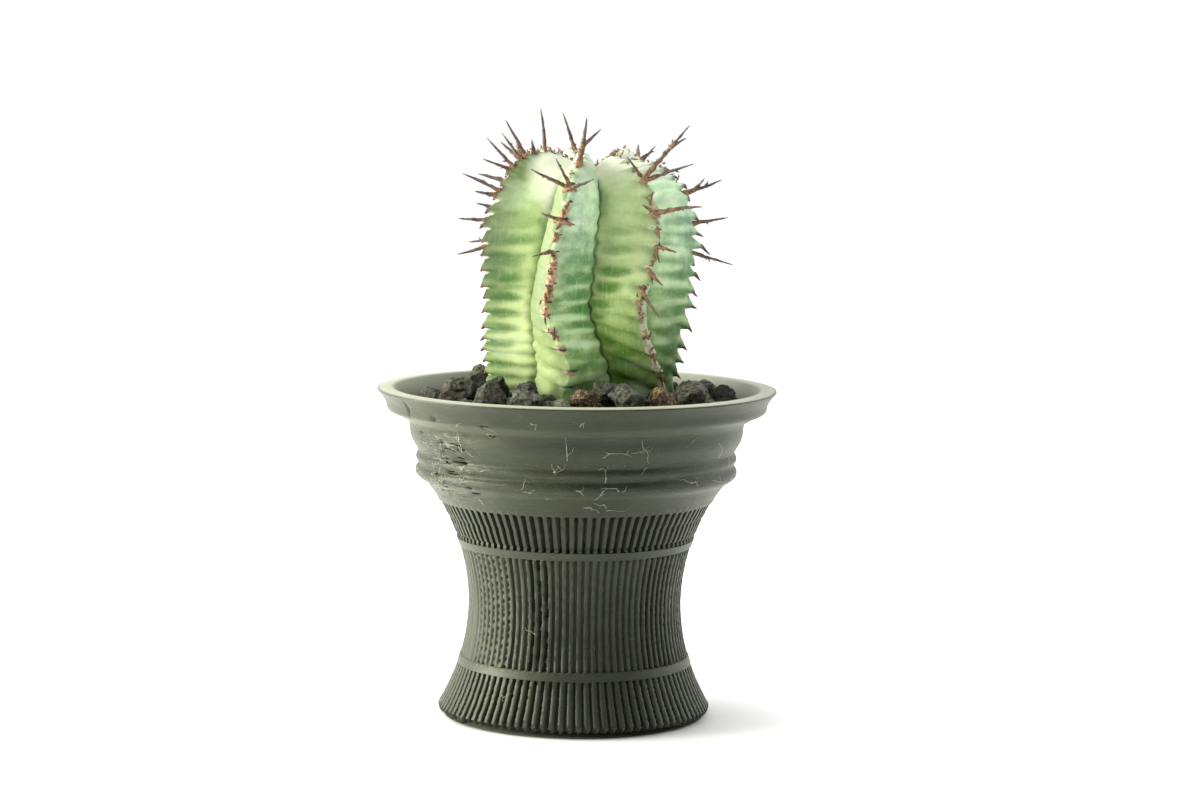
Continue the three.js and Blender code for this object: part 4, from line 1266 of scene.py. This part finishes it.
# Dry cork on the crests: lowest and highest climb, half width as a share of the face, strength, how bleached
CORK_PATCHES = {
    "frontLeft": [
        (18.7, 27.3, 0.03, 1.0, 0.0), (16.2, 18.0, 0.028, 1.0, 0.0), (11.9, 13.5, 0.028, 1.0, 0.1),
        (8.6, 9.9, 0.028, 1.0, 0.1), (3.8, 5.0, 0.028, 0.9, 0.3), (31.4, 33.2, 0.028, 0.9, 0.0),
        (36.0, 38.4, 0.028, 0.8, 0.0), (28.4, 29.2, 0.02, 0.6, 0.0),
    ],
    "frontRight": [
        (15.8, 19.4, 0.015, 0.8, 0.5), (12.6, 14.4, 0.025, 1.0, 0.9), (8.2, 11.8, 0.035, 1.0, 1.0),
        (4.4, 7.4, 0.04, 1.0, 0.9), (1.2, 2.8, 0.03, 0.8, 0.2), (36.5, 39.5, 0.015, 0.7, 0.2),
    ],
}


def on_rib(name):
    return rib == RIB_NAMES.index(name)


def from_faces(trait):
    """A trait of each face, spread over the whole skin. A trait of several numbers gives as many tables."""
    faces = [[FACES.get((name, way), BACK_FACE) for way in (-1, 1)] for name in RIB_NAMES]
    table = np.array([[getattr(face, trait) for face in pair] for pair in faces])
    spread = table[rib.astype(int), (side > 0).astype(int)]
    return np.moveaxis(spread, 2, 0) if spread.ndim == 3 else spread


def over_face(trait):
    """A trait that is given near the four corners of each face, blended over the skin."""
    to_valley, upward = smoothstep(across, 0.15, 0.85), smoothstep(climb, 8, 30)
    crest_low, valley_low, crest_high, valley_high = from_faces(trait)
    return mix(mix(crest_low, valley_low, to_valley), mix(crest_high, valley_high, to_valley), upward)


def patches_on(skin_clear):
    """How much of the skin stays clear of dark patches, and how light it is under the light ones. Some of
    both are painted shade and painted light.
    """
    light = np.zeros_like(climb)
    ragged = 0.22 * ripple(skin_grid, 2.6, 57) + 0.10 * ripple(skin_grid, 1.0, 58)
    for (name, way), patches in PATCHES.items():
        here = on_rib(name) & (side == way)
        for middle, share, half_height, half_share, strength in patches:
            from_middle = ((climb - middle) / half_height) ** 2 + ((across - share) / half_share) ** 2
            amount = here * min(1.2 * abs(strength), 1) * (1 - smoothstep(from_middle + ragged, 0.0, 2.1))
            if strength > 0:
                skin_clear = skin_clear * (1 - amount)
            else:
                light = np.maximum(light, amount)
    return skin_clear, light


def cork_on_crests():
    """How dry and how bleached the skin is."""
    dry, bleached = np.zeros_like(climb), np.zeros_like(climb)
    chips = 0.5 * ripple(skin_grid, 1.6, 53) + 0.4 * ripple(skin_grid, 0.7, 54)
    for name, patches in CORK_PATCHES.items():
        for low, high, half_share, strength, paleness in patches:
            patch = window(climb + 0.3 * chips, low, high, 0.35) * on_rib(name) * strength
            patch *= 1 - smoothstep(across / half_share + 0.35 * chips, 0.7, 1.3)
            dry = np.maximum(dry, patch)
            bleached = np.maximum(bleached, (patch > 0.05) * paleness)
    return dry, bleached


def skin_tones():
    """Each tone of the skin, between 0 and 1 at every point."""
    patchy = 0.8 + 0.3 * ripple(skin_grid, 7.0, 51)
    wobble = 0.05 * ripple(skin_grid, 5.0, 52) + 0.02 * ripple(skin_grid, 1.5, 55)
    furrow = (1 + np.cos(TURN * (turn - FURROW + wobble))) / 2
    upper = 1 - 0.8 * smoothstep(climb, 26, 44)
    wedge = from_faces("wedge") * hump(across, 0, 0.34) * furrow
    band = from_faces("band") * hump(across, 0.5, 0.4) * furrow**1.5
    clear = (1 - np.clip(wedge * upper * patchy, 0, 1)) * (1 - np.clip(band * upper * patchy, 0, 1))
    # Painted shade: a thin dark line along each furrow, strongest low down
    furrow_shade_line = hump(turn + 0.6 * wobble, FURROW, 0.045) * mix(0.32, 0.1, smoothstep(climb, 6, 26))
    clear *= 1 - furrow_shade_line * window(across, 0.05, 0.98, 0.05) * (1 - smoothstep(climb, 34, 42))
    clear, light = patches_on(clear)
    dry, bleached = cork_on_crests()
    from_tip = (turn + 0.5) % 1 - 0.5
    side_ribs = [i for i, name in enumerate(RIB_NAMES) if not name.startswith("front")]
    young_left = 0.95 * smoothstep(climb + 18 * (across - 0.5), 41.0, 50.0)
    return {
        "across": across,
        "young": np.where(on_rib("left") & (side > 0), young_left, smoothstep(climb, 41, 54)),
        "cream": over_face("cream") + 0.12 * (1 - furrow) * upper,
        # gain and pale are painted light and shade on whole faces
        "gain": over_face("gain"),
        "pale": from_faces("pale") * smoothstep(climb, 6, 20),
        "light": light,
        "wax": mix(*from_faces("wax"), smoothstep(climb, 10, 40)),
        "dark": 1 - clear,
        "dry": dry,
        "bleached": bleached,
        "tip": hump(from_tip, 0, 0.12) * hump(across, 0, 0.05) * np.isin(rib, side_ribs),
        "rim": hump(turn, FURROW, 0.08) * hump(across, 0, 0.07) * (climb < 40),
    }


def make_stem():
    first = skin_grid[0] - [lean_at(GROUND - BELOW_GROUND), 0, 0]
    around = np.arctan2(first[:, 0], -first[:, 1])
    roots = [polar(around, radius, height) for radius, height in ROOT_RINGS]
    bottom, top = np.array([[0, 0, ROOT_RINGS[0][1] - 1]]), np.array([[STEM_LEAN, 0, CROWN_HEIGHT]])
    points, faces = loft([bottom, *roots, *skin_grid, top])
    before = 1 + len(roots) * len(first)
    values = {}
    for key, table in skin_tones().items():
        values[key] = np.concatenate([np.full(before, table[0, 0]), table.ravel(), [table[-1, 0]]])
    return points, faces, values


stem_points, stem_faces, stem_values = make_stem()

# %% [markdown]
# The skin's colour is built in layers: green, pushed towards cream or blue-grey wax by the face's tone, a
# darker tone of painted shade on the face that the left lamp strikes hardest, dark and light patches, some of
# them painted shade and painted light, a thin line of painted shade along each furrow, fine streaks, dots and
# pores, a gain of painted light and shade that makes each face lighter or darker, the pale young crown, a
# dark line of painted shade in the valley, and dry tan or bleached cork on the crest. A little light passes
# through the flesh, so it gets some subsurface scattering.

# %% Finish the skin
GREEN = ((0.135, 0.235, 0.040), (0.23, 0.345, 0.090))
GREEN_DARK = (0.055, 0.155, 0.015)
CREAM = (0.56, 0.67, 0.32)
WAX = ((0.26, 0.42, 0.25), (0.60, 0.69, 0.58))
WAX_DARK = (0.080, 0.180, 0.085)
YOUNG = (0.56, 0.585, 0.46)
PALE_FACE_SHADE = (0.23, 0.285, 0.145)
RIM = (0.62, 0.70, 0.50)
LIGHT_PATCH = (0.52, 0.68, 0.42)
VALLEY_SHADE_LINE = (0.040, 0.110, 0.020)
TIP = (0.075, 0.035, 0.028)
CORK = ((0.19, 0.110, 0.062), (0.56, 0.40, 0.25))
CORK_PALE = ((0.34, 0.31, 0.20), (0.66, 0.66, 0.50))


def succulent_skin():
    recipe = Recipe("succulent_skin", roughness=0.5, specular=0.13)
    recipe.set(Subsurface_Weight=0.12, Subsurface_Radius=(0.6, 1.0, 0.25), Subsurface_Scale=1.2 * MM)
    clouds = recipe.noise(0.12)
    mottle = recipe.noise(0.45, detail=6, rough=0.65)
    spots = recipe.band(mottle, 0.35, 0.7)
    cream = recipe.times(recipe.value("cream"), recipe.band(clouds, 0.3, 0.65, 0.7, 1.2))
    wax = recipe.times(recipe.value("wax"), recipe.band(clouds, 0.65, 0.3, 0.8, 1.1))
    wax = recipe.math("MINIMUM", wax, 1.0)
    recipe.tone = recipe.blend(spots, *GREEN)
    recipe.coat(cream, CREAM)
    recipe.coat(recipe.times(wax, 0.9), recipe.blend(spots, *WAX))
    # Painted shade: the face that the left lamp strikes hardest wears a darker, duller tone
    recipe.coat(recipe.value("pale"), PALE_FACE_SHADE)
    # Dark and light patches: partly the skin's own mottling, partly painted shade and painted light
    recipe.coat(recipe.value("dark"), recipe.blend(wax, GREEN_DARK, WAX_DARK))
    recipe.coat(recipe.value("light"), LIGHT_PATCH)
    streaks = recipe.noise(1.0, detail=4, rough=0.6, where=recipe.stretched(1.6, 1.6, 0.18))
    recipe.coat(recipe.band(streaks, 0.55, 0.75, 0, 0.20), RIM)
    recipe.coat(recipe.band(recipe.noise(2.4, detail=2), 0.60, 0.68, 0, 0.17), RIM)
    pores = recipe.noise(3.2, detail=4, rough=0.7)
    recipe.coat(recipe.band(pores, 0.42, 0.32, 0, 0.25), GREEN_DARK)
    # Painted light and shade: each face is made lighter or darker by its gain
    recipe.coat(1.0, recipe.value("gain"), way="MULTIPLY")
    recipe.coat(recipe.times(recipe.value("young"), 0.9), YOUNG)
    # Painted shade: a dark line along the bottom of each valley crease
    recipe.coat(recipe.band(recipe.value("across"), 0.982, 1.0, 0, 0.45), VALLEY_SHADE_LINE)
    recipe.coat(recipe.value("rim"), RIM)
    recipe.coat(recipe.value("tip"), TIP)
    flakes = recipe.band(recipe.noise(1.4, detail=4), 0.35, 0.65)
    cork, pale_cork = recipe.blend(flakes, *CORK), recipe.blend(flakes, *CORK_PALE)
    recipe.coat(recipe.value("dry"), recipe.blend(recipe.value("bleached"), cork, pale_cork))
    recipe.link("Roughness", recipe.band(mottle, 0.3, 0.7, 0.45, 0.60))
    recipe.relief(recipe.noise(2.2, detail=5), 0.05)
    return recipe


make_piece("stem_skin", stem_points, stem_faces, succulent_skin(), ["stem"], stem_values)

# %% Fill the gravel bed
BED_POINTS = 192
BED_UNDERSIDE = [(8.6, 59.6), (20, 59.4), (31.6, 59.4), (33.0, 61.6), (36.0, 64.0)]
BED_TOP_RADII = np.linspace(36.6, 14.5, 34)
BED_INNER_EDGE = (13.2, 62.0)
BED_BELOW_STONES = 1.0

stem_foot = skin_grid[np.searchsorted(skin_climbs, -1.0)]
foot_outline = np.array(sorted((math.atan2(x, -y), math.hypot(x, y)) for x, y, _ in stem_foot))


def stem_is_clear(azimuth, distance, radius):
    """Whether a stone misses the stem where it goes into the gravel."""
    x, y, _ = polar(azimuth, distance, 0.0)
    nearest = np.hypot(stem_foot[:, 0] - x, stem_foot[:, 1] - y).min()
    return nearest > STEM_CLEARANCE * radius and distance > np.interp(math.atan2(x, -y), *foot_outline.T)


def gravel_bed():
    """Lumpy ring of packed grit under the stones."""
    azimuth = np.linspace(0, TURN, BED_POINTS, endpoint=False)
    rings = [polar(azimuth, radius, height) for radius, height in BED_UNDERSIDE]
    for radius in BED_TOP_RADII:
        ring = polar(azimuth, radius, gravel_height(radius) - BED_BELOW_STONES)
        ring[:, 2] += 0.55 * ripple(ring, 2.6, 41) + 0.25 * ripple(ring, 1.1, 42)
        rings.append(inside_bowl(ring))
    rings.append(polar(azimuth, *BED_INNER_EDGE))
    return loft(rings, joined_ends=True)


for name, heap in zip(("gravel_front", "gravel_scatter", "gravel_grit"), scatter_stones(stem_is_clear)):
    heap.piece(name, lava_finish, "lava_gravel", ["gravel"], crease=28)
bed = Heap()
bed.put(*gravel_bed(), rust=0.0, grey=0.2)
bed.piece("gravel_bed", lava_finish, "lava_gravel", ["gravel"])

# %% [markdown]
# ## Spines
# The spines are dried flower stalks: woody, knobbly, thicker and tan at the root, purple-grey towards the
# tip, and a few are forked. They stand in clusters on the crests, and only on the younger upper part are they
# long. Each is a tube with a slightly bent path and an uneven radius, from the same list of roots and runs as
# the CAD.

# %% Grow the spines
# Each spine: climb along its crest, run from root to tip as (right, back, up), radius, and the share of the
# run where a prong starts and the prong's run, if it has one
FRONT_SPINES = {
    "left": [
        (50.2, (-4.2, -0.5, 7.4), 0.6), (49, (-4, 1.5, 5.3), 0.5), (46.7, (-5.4, 0.5, 5.8), 0.5),
        (46, (-5.8, -1, 2.1), 0.45), (52, (-0.4, -0.8, 2.8), 0.5), (41, (-7.5, -0.5, 3.4), 0.55),
        (40, (-4.4, -1.5, 0.8), 0.6), (34.7, (-5.8, 0, 0.2), 0.55), (29, (-5.3, 0, -1.6), 0.45),
    ],
    "frontLeft": [
        (48.5, (1.5, -0.5, 9.4), 0.85, 0.38, (3.8, 0.5, 3.6)), (42.7, (-7.9, -2.5, 3.8), 0.6),
        (43.2, (-2.9, -2, 5.5), 0.5), (42.5, (5, -2.5, 2.1), 0.55), (35.9, (-4, -2.5, 1.5), 0.5),
        (35.6, (2.9, -1.8, -0.6), 0.6), (29.6, (-4.2, -2, -1.1), 0.5),
    ],
    "frontRight": [
        (45.4, (-3.1, -2, 4.3), 0.5), (45, (9.2, -3, 11.1), 0.8, 0.6, (3, -1, 1.9)),
        (44.6, (9.8, -2.5, 3.6), 0.6), (37.2, (9.6, -3, 1.7), 0.65), (37.4, (-2.5, -2, 1.7), 0.45),
        (30.6, (4, -2.5, -1.1), 0.5), (25.3, (2.7, -2, -2.6), 0.5), (21, (3.5, -1.5, -4.7), 0.45),
        (56, (-0.4, -0.2, 1.2), 0.4),
    ],
    "right": [
        (41, (7.4, 0, 2.7), 0.6, 0.25, (2, 0, 2.2)), (34.4, (6.9, 0, 1.2), 0.5), (28, (7.9, 0, -2.3), 0.45),
    ],
    "backRight": [(47, (3.2, 1, 3.8), 0.4)],
    "back": [(54, (-2.5, 0.5, 7.6), 0.55)],
    "backLeft": [(54.5, (-0.9, 1, 8.6), 0.55)],
}
BACK_RIBS = ["backRight", "back", "backLeft"]
BACK_CLUSTERS = [24, 30, 36, 42, 48]
SPINE_STEP = 0.3
THINNER = 0.74
STOUT = 0.90
SCALE_SPACING = 3.2


def grow_spine(heap, root, run, radius, random, sunk=1.0, bend=0.05, sides=8, tones=(0.0, 1.0)):
    """Knobbly tapering tube. Its finish goes from one tone at the root to the other at the tip."""
    run = np.asarray(run, float)
    length = np.linalg.norm(run)
    along = np.linspace(-sunk / length, 1, max(int((length + sunk) / SPINE_STEP), 6))
    above = np.clip(along, 0, 1)
    sag = random.normal(size=3) * bend * length
    path = root + run * along[:, None] + sag * (above * (1 - above))[:, None]
    seed = int(random.integers(1 << 30))
    angles = TURN * np.arange(sides) / sides
    spots = np.broadcast_arrays(along[:, None] * length, 0.7 * np.cos(angles), 0.7 * np.sin(angles))
    spots = np.stack(spots, axis=-1)
    knobs = 0.16 * ripple(spots, 1.7, seed) + 0.10 * ripple(spots, 0.7, seed + 1)
    taper = radius * (1 - above) ** 0.75 + 0.07 + 0.35 * radius * hump(along * length, 0, 0.7)
    shares = np.concatenate([along[:1], np.repeat(along, sides), [1.0]])
    heap.put(*tube(path, taper[:, None] * (1 + knobs), sides), along=mix(*tones, shares))
    return path


def twig(heap, root, run, radius, random, prong=None, tones=(0.0, 1.0)):
    """Spine with its prong and the small scales that stand off it."""
    path = grow_spine(heap, root, run, radius, random, sunk=1.6, tones=tones)
    run = np.asarray(run, float)
    if prong:
        share, prong_run = prong
        grow_spine(heap, root + run * share, prong_run, 0.62 * radius, random, sunk=0.4)
    for _ in range(int(np.linalg.norm(run) / SCALE_SPACING)):
        share = random.uniform(0.15, 0.8)
        away = np.cross(run, random.normal(size=3))
        away = away / np.linalg.norm(away) + 0.8 * run / np.linalg.norm(run)
        start = path[int(share * (len(path) - 1))]
        grow_spine(heap, start, away * random.uniform(0.4, 0.9), 0.3 * radius, random, sunk=0.2, sides=5)


def grow_spines():
    random = np.random.default_rng(7)
    heap = Heap()
    for name, stalks in FRONT_SPINES.items():
        for climb, run, radius, *prong in stalks:
            old = name.startswith("front") and climb < 38
            stout, tones = (STOUT, (0.0, 0.4)) if old else (THINNER, (0.0, 1.0))
            twig(heap, crest_point(name, climb), run, radius * stout, random, prong, tones)
    for name in BACK_RIBS:
        for climb in BACK_CLUSTERS:
            root = crest_point(name, climb)
            outward = math.atan2(root[0] - STEM_LEAN, -root[1])
            rise = math.radians(2.2 * (climb - 32) + 14 * (random.random() - 0.5))
            for way in (-1, 1):
                azimuth = outward + way * (0.35 + 0.5 * random.random())
                run = polar(azimuth, math.cos(rise), math.sin(rise)) * (3 + 4 * random.random())
                twig(heap, root, run, 0.42 + 0.15 * random.random(), random)
    return heap


# %% [markdown]
# Spines and the dry bits on the crests share one finish: reddish brown wood that greys towards a spine's tip,
# with a tan root and fine lengthwise cracks. The small hooks on the front crests are dark all over: they are
# painted shade, standing for the shadow under each tooth.

# %% Finish the dry wood
WOOD_BROWN = ((0.042, 0.027, 0.021), (0.25, 0.150, 0.100))
WOOD_GREY = ((0.038, 0.031, 0.034), (0.165, 0.130, 0.130))
WOOD_WARM = ((0.080, 0.036, 0.018), (0.42, 0.225, 0.110))
WOOD_TAN = (0.48, 0.32, 0.18)
HOOK_SHADE = (0.040, 0.055, 0.025)


def dry_wood():
    recipe = Recipe("dry_wood", roughness=0.7, specular=0.35)
    along = recipe.value("along")
    grain = recipe.noise(1.6, detail=6, rough=0.7)
    light_grain = recipe.band(grain, 0.38, 0.62)
    recipe.tone = recipe.blend(light_grain, *WOOD_BROWN)
    recipe.coat(recipe.band(along, 0.2, 0.75), recipe.blend(light_grain, *WOOD_GREY))
    recipe.coat(recipe.band(along, 0.28, 0.02, 0, 0.75), recipe.blend(light_grain, *WOOD_WARM))
    recipe.coat(recipe.band(along, 0.08, -0.05, 0, 0.45), WOOD_TAN)
    # Painted shade: the hooks beside the front crests are dark all over
    recipe.coat(recipe.band(along, 1.2, 1.4), HOOK_SHADE)
    recipe.relief(grain, 0.2)
    return recipe


spines = grow_spines()

# %% [markdown]
# ## Teeth, scars and tufts
# Every knob ends in a tooth with a short thorn that hangs a little. On the two front ribs a chain of dry
# flower remains runs down the crest, with small dark hooks beside it, which are painted shade standing for
# the shadow under each tooth, and, on the right one, tan sticks. Near the crown each knob still wears a tan
# tuft.
# These are small cones, stubs and flakes, seeded so that they come out the same each time, and joined to the
# spines' mesh.

# %% Set teeth and dry bits on the crests
THORN_LENGTHS = {
    "left": 0.7, "frontLeft": 0.4, "frontRight": 0.5, "right": 1.3,
    "backRight": 1.2, "back": 1.2, "backLeft": 1.1,
}
# Between which climbs a crest is scarred, and how many dry stubs there are to a tooth
SCAR_STRETCHES = {"frontLeft": (10, 45, 3), "frontRight": (2, 45, 4)}
# Tan sticks that hang down the crest of frontRight: climb of the root and length in millimetres
STICKS = [
    (33.6, 1.8), (29.6, 2.4), (25.0, 2.2), (21.3, 2.2), (18.9, 3.2), (13.0, 1.6), (7.6, 1.4), (3.0, 2.0),
]
# Which way the small dark hooks of painted shade on the front crests point: to the right above 0
SHADE_HOOK_SIDES = {"frontLeft": 1, "frontRight": -1}
STICK_RADIUS = 0.26
SHADE_HOOK_RADIUS = 0.22
HIGHEST_SHADE_HOOK = 44
TUFTED_FROM = 45
TUFT_HAIRS = 4
# Each kind of dry bit: how far its root is sunk, how many sides it has, and its tones from root to tip
BITS = {
    "thorn": {"sunk": 0.6, "tones": (0.3, 0.9)},
    "scar": {"sunk": 0.6, "sides": 6, "tones": (0.0, 0.35)},
    "stick": {"sunk": 0.4, "sides": 6, "tones": (0.0, 0.2), "bend": 0.2},
    "shade_hook": {"sunk": 0.5, "sides": 6, "tones": (1.5, 2.0)},
    "hair": {"sunk": 0.5, "sides": 5, "tones": (0.0, 0.4)},
}


def outward_at(point):
    flat = np.array([point[0] - lean_at(point[2]), point[1], 0.0])
    return flat / np.linalg.norm(flat)


def near_crest(name, climb, spread, scatter, random):
    """Random point on or near a crest, up to spread further up or down."""
    return crest_point(name, climb + random.uniform(-spread, spread)) + scatter * random.normal(size=3)


def set_teeth():
    random = np.random.default_rng(19)
    for name in RIB_NAMES:
        for climb, size in list(zip(tooth_places(name), tooth_sizes(name)))[1:]:
            root = crest_point(name, climb)
            outward = outward_at(root)
            young = smoothstep(climb, 40, 52)
            length = THORN_LENGTHS[name] * size * random.uniform(0.7, 1.3) * mix(1.0, 0.4, young)
            stand = ((size - 0.5) * TOOTH_RISE[name] - 0.2) * mix(1.0, 0.5, young)
            aim = outward - [0, 0, random.uniform(0.4, 1.5) * (1 - young)]
            run = aim * length / np.linalg.norm(aim)
            width = mix(0.22, 0.14, young)
            grow_spine(spines, root + stand * outward, run, width, random, **BITS["thorn"])


def set_scars():
    random = np.random.default_rng(23)
    for name, (first, last, number) in SCAR_STRETCHES.items():
        for climb in tooth_places(name):
            for _ in range(number if first < climb < last else 0):
                root = near_crest(name, climb, 1.6, 0.3, random)
                outward = outward_at(root)
                sideways = np.cross(outward, [0, 0, 1]) * random.normal() * 0.6
                run = outward * random.uniform(0.3, 0.8) + sideways + [0, 0, random.normal() * 0.8]
                width = random.uniform(0.14, 0.27)
                grow_spine(spines, root, run, width, random, **BITS["scar"])
    for climb, length in STICKS:
        root = crest_point("frontRight", climb) + [0.2, -0.25, 0]
        run = np.array([0.25, -0.1, -1.0]) * length
        grow_spine(spines, root, run, STICK_RADIUS, random, **BITS["stick"])
    # Hooks of painted shade: dark stubs that stand for the shadow under each tooth
    for name, way in SHADE_HOOK_SIDES.items():
        for climb in tooth_places(name):
            if 0 < climb < HIGHEST_SHADE_HOOK:
                root = crest_point(name, climb + random.uniform(-0.4, 0.4)) + [0.5 * way, -0.1, 0]
                run = (way * random.uniform(0.4, 1.0), -0.4, random.uniform(-0.4, 0.1))
                grow_spine(spines, root, run, SHADE_HOOK_RADIUS, random, **BITS["shade_hook"])


def set_tufts():
    random = np.random.default_rng(29)
    for name in RIB_NAMES:
        for climb in tooth_places(name):
            for _ in range(TUFT_HAIRS if climb >= TUFTED_FROM else 0):
                root = near_crest(name, climb, 0.9, 0.4, random)
                run = outward_at(root) * random.uniform(-0.2, 0.4) + [0, 0, random.uniform(0.0, 0.4)]
                run = run + 0.2 * random.normal(size=3)
                width = random.uniform(0.07, 0.15)
                grow_spine(spines, root, run, width, random, **BITS["hair"])


set_teeth()
set_scars()
set_tufts()
spines.piece("spines", dry_wood(), "succulent_skin", ["stem"])
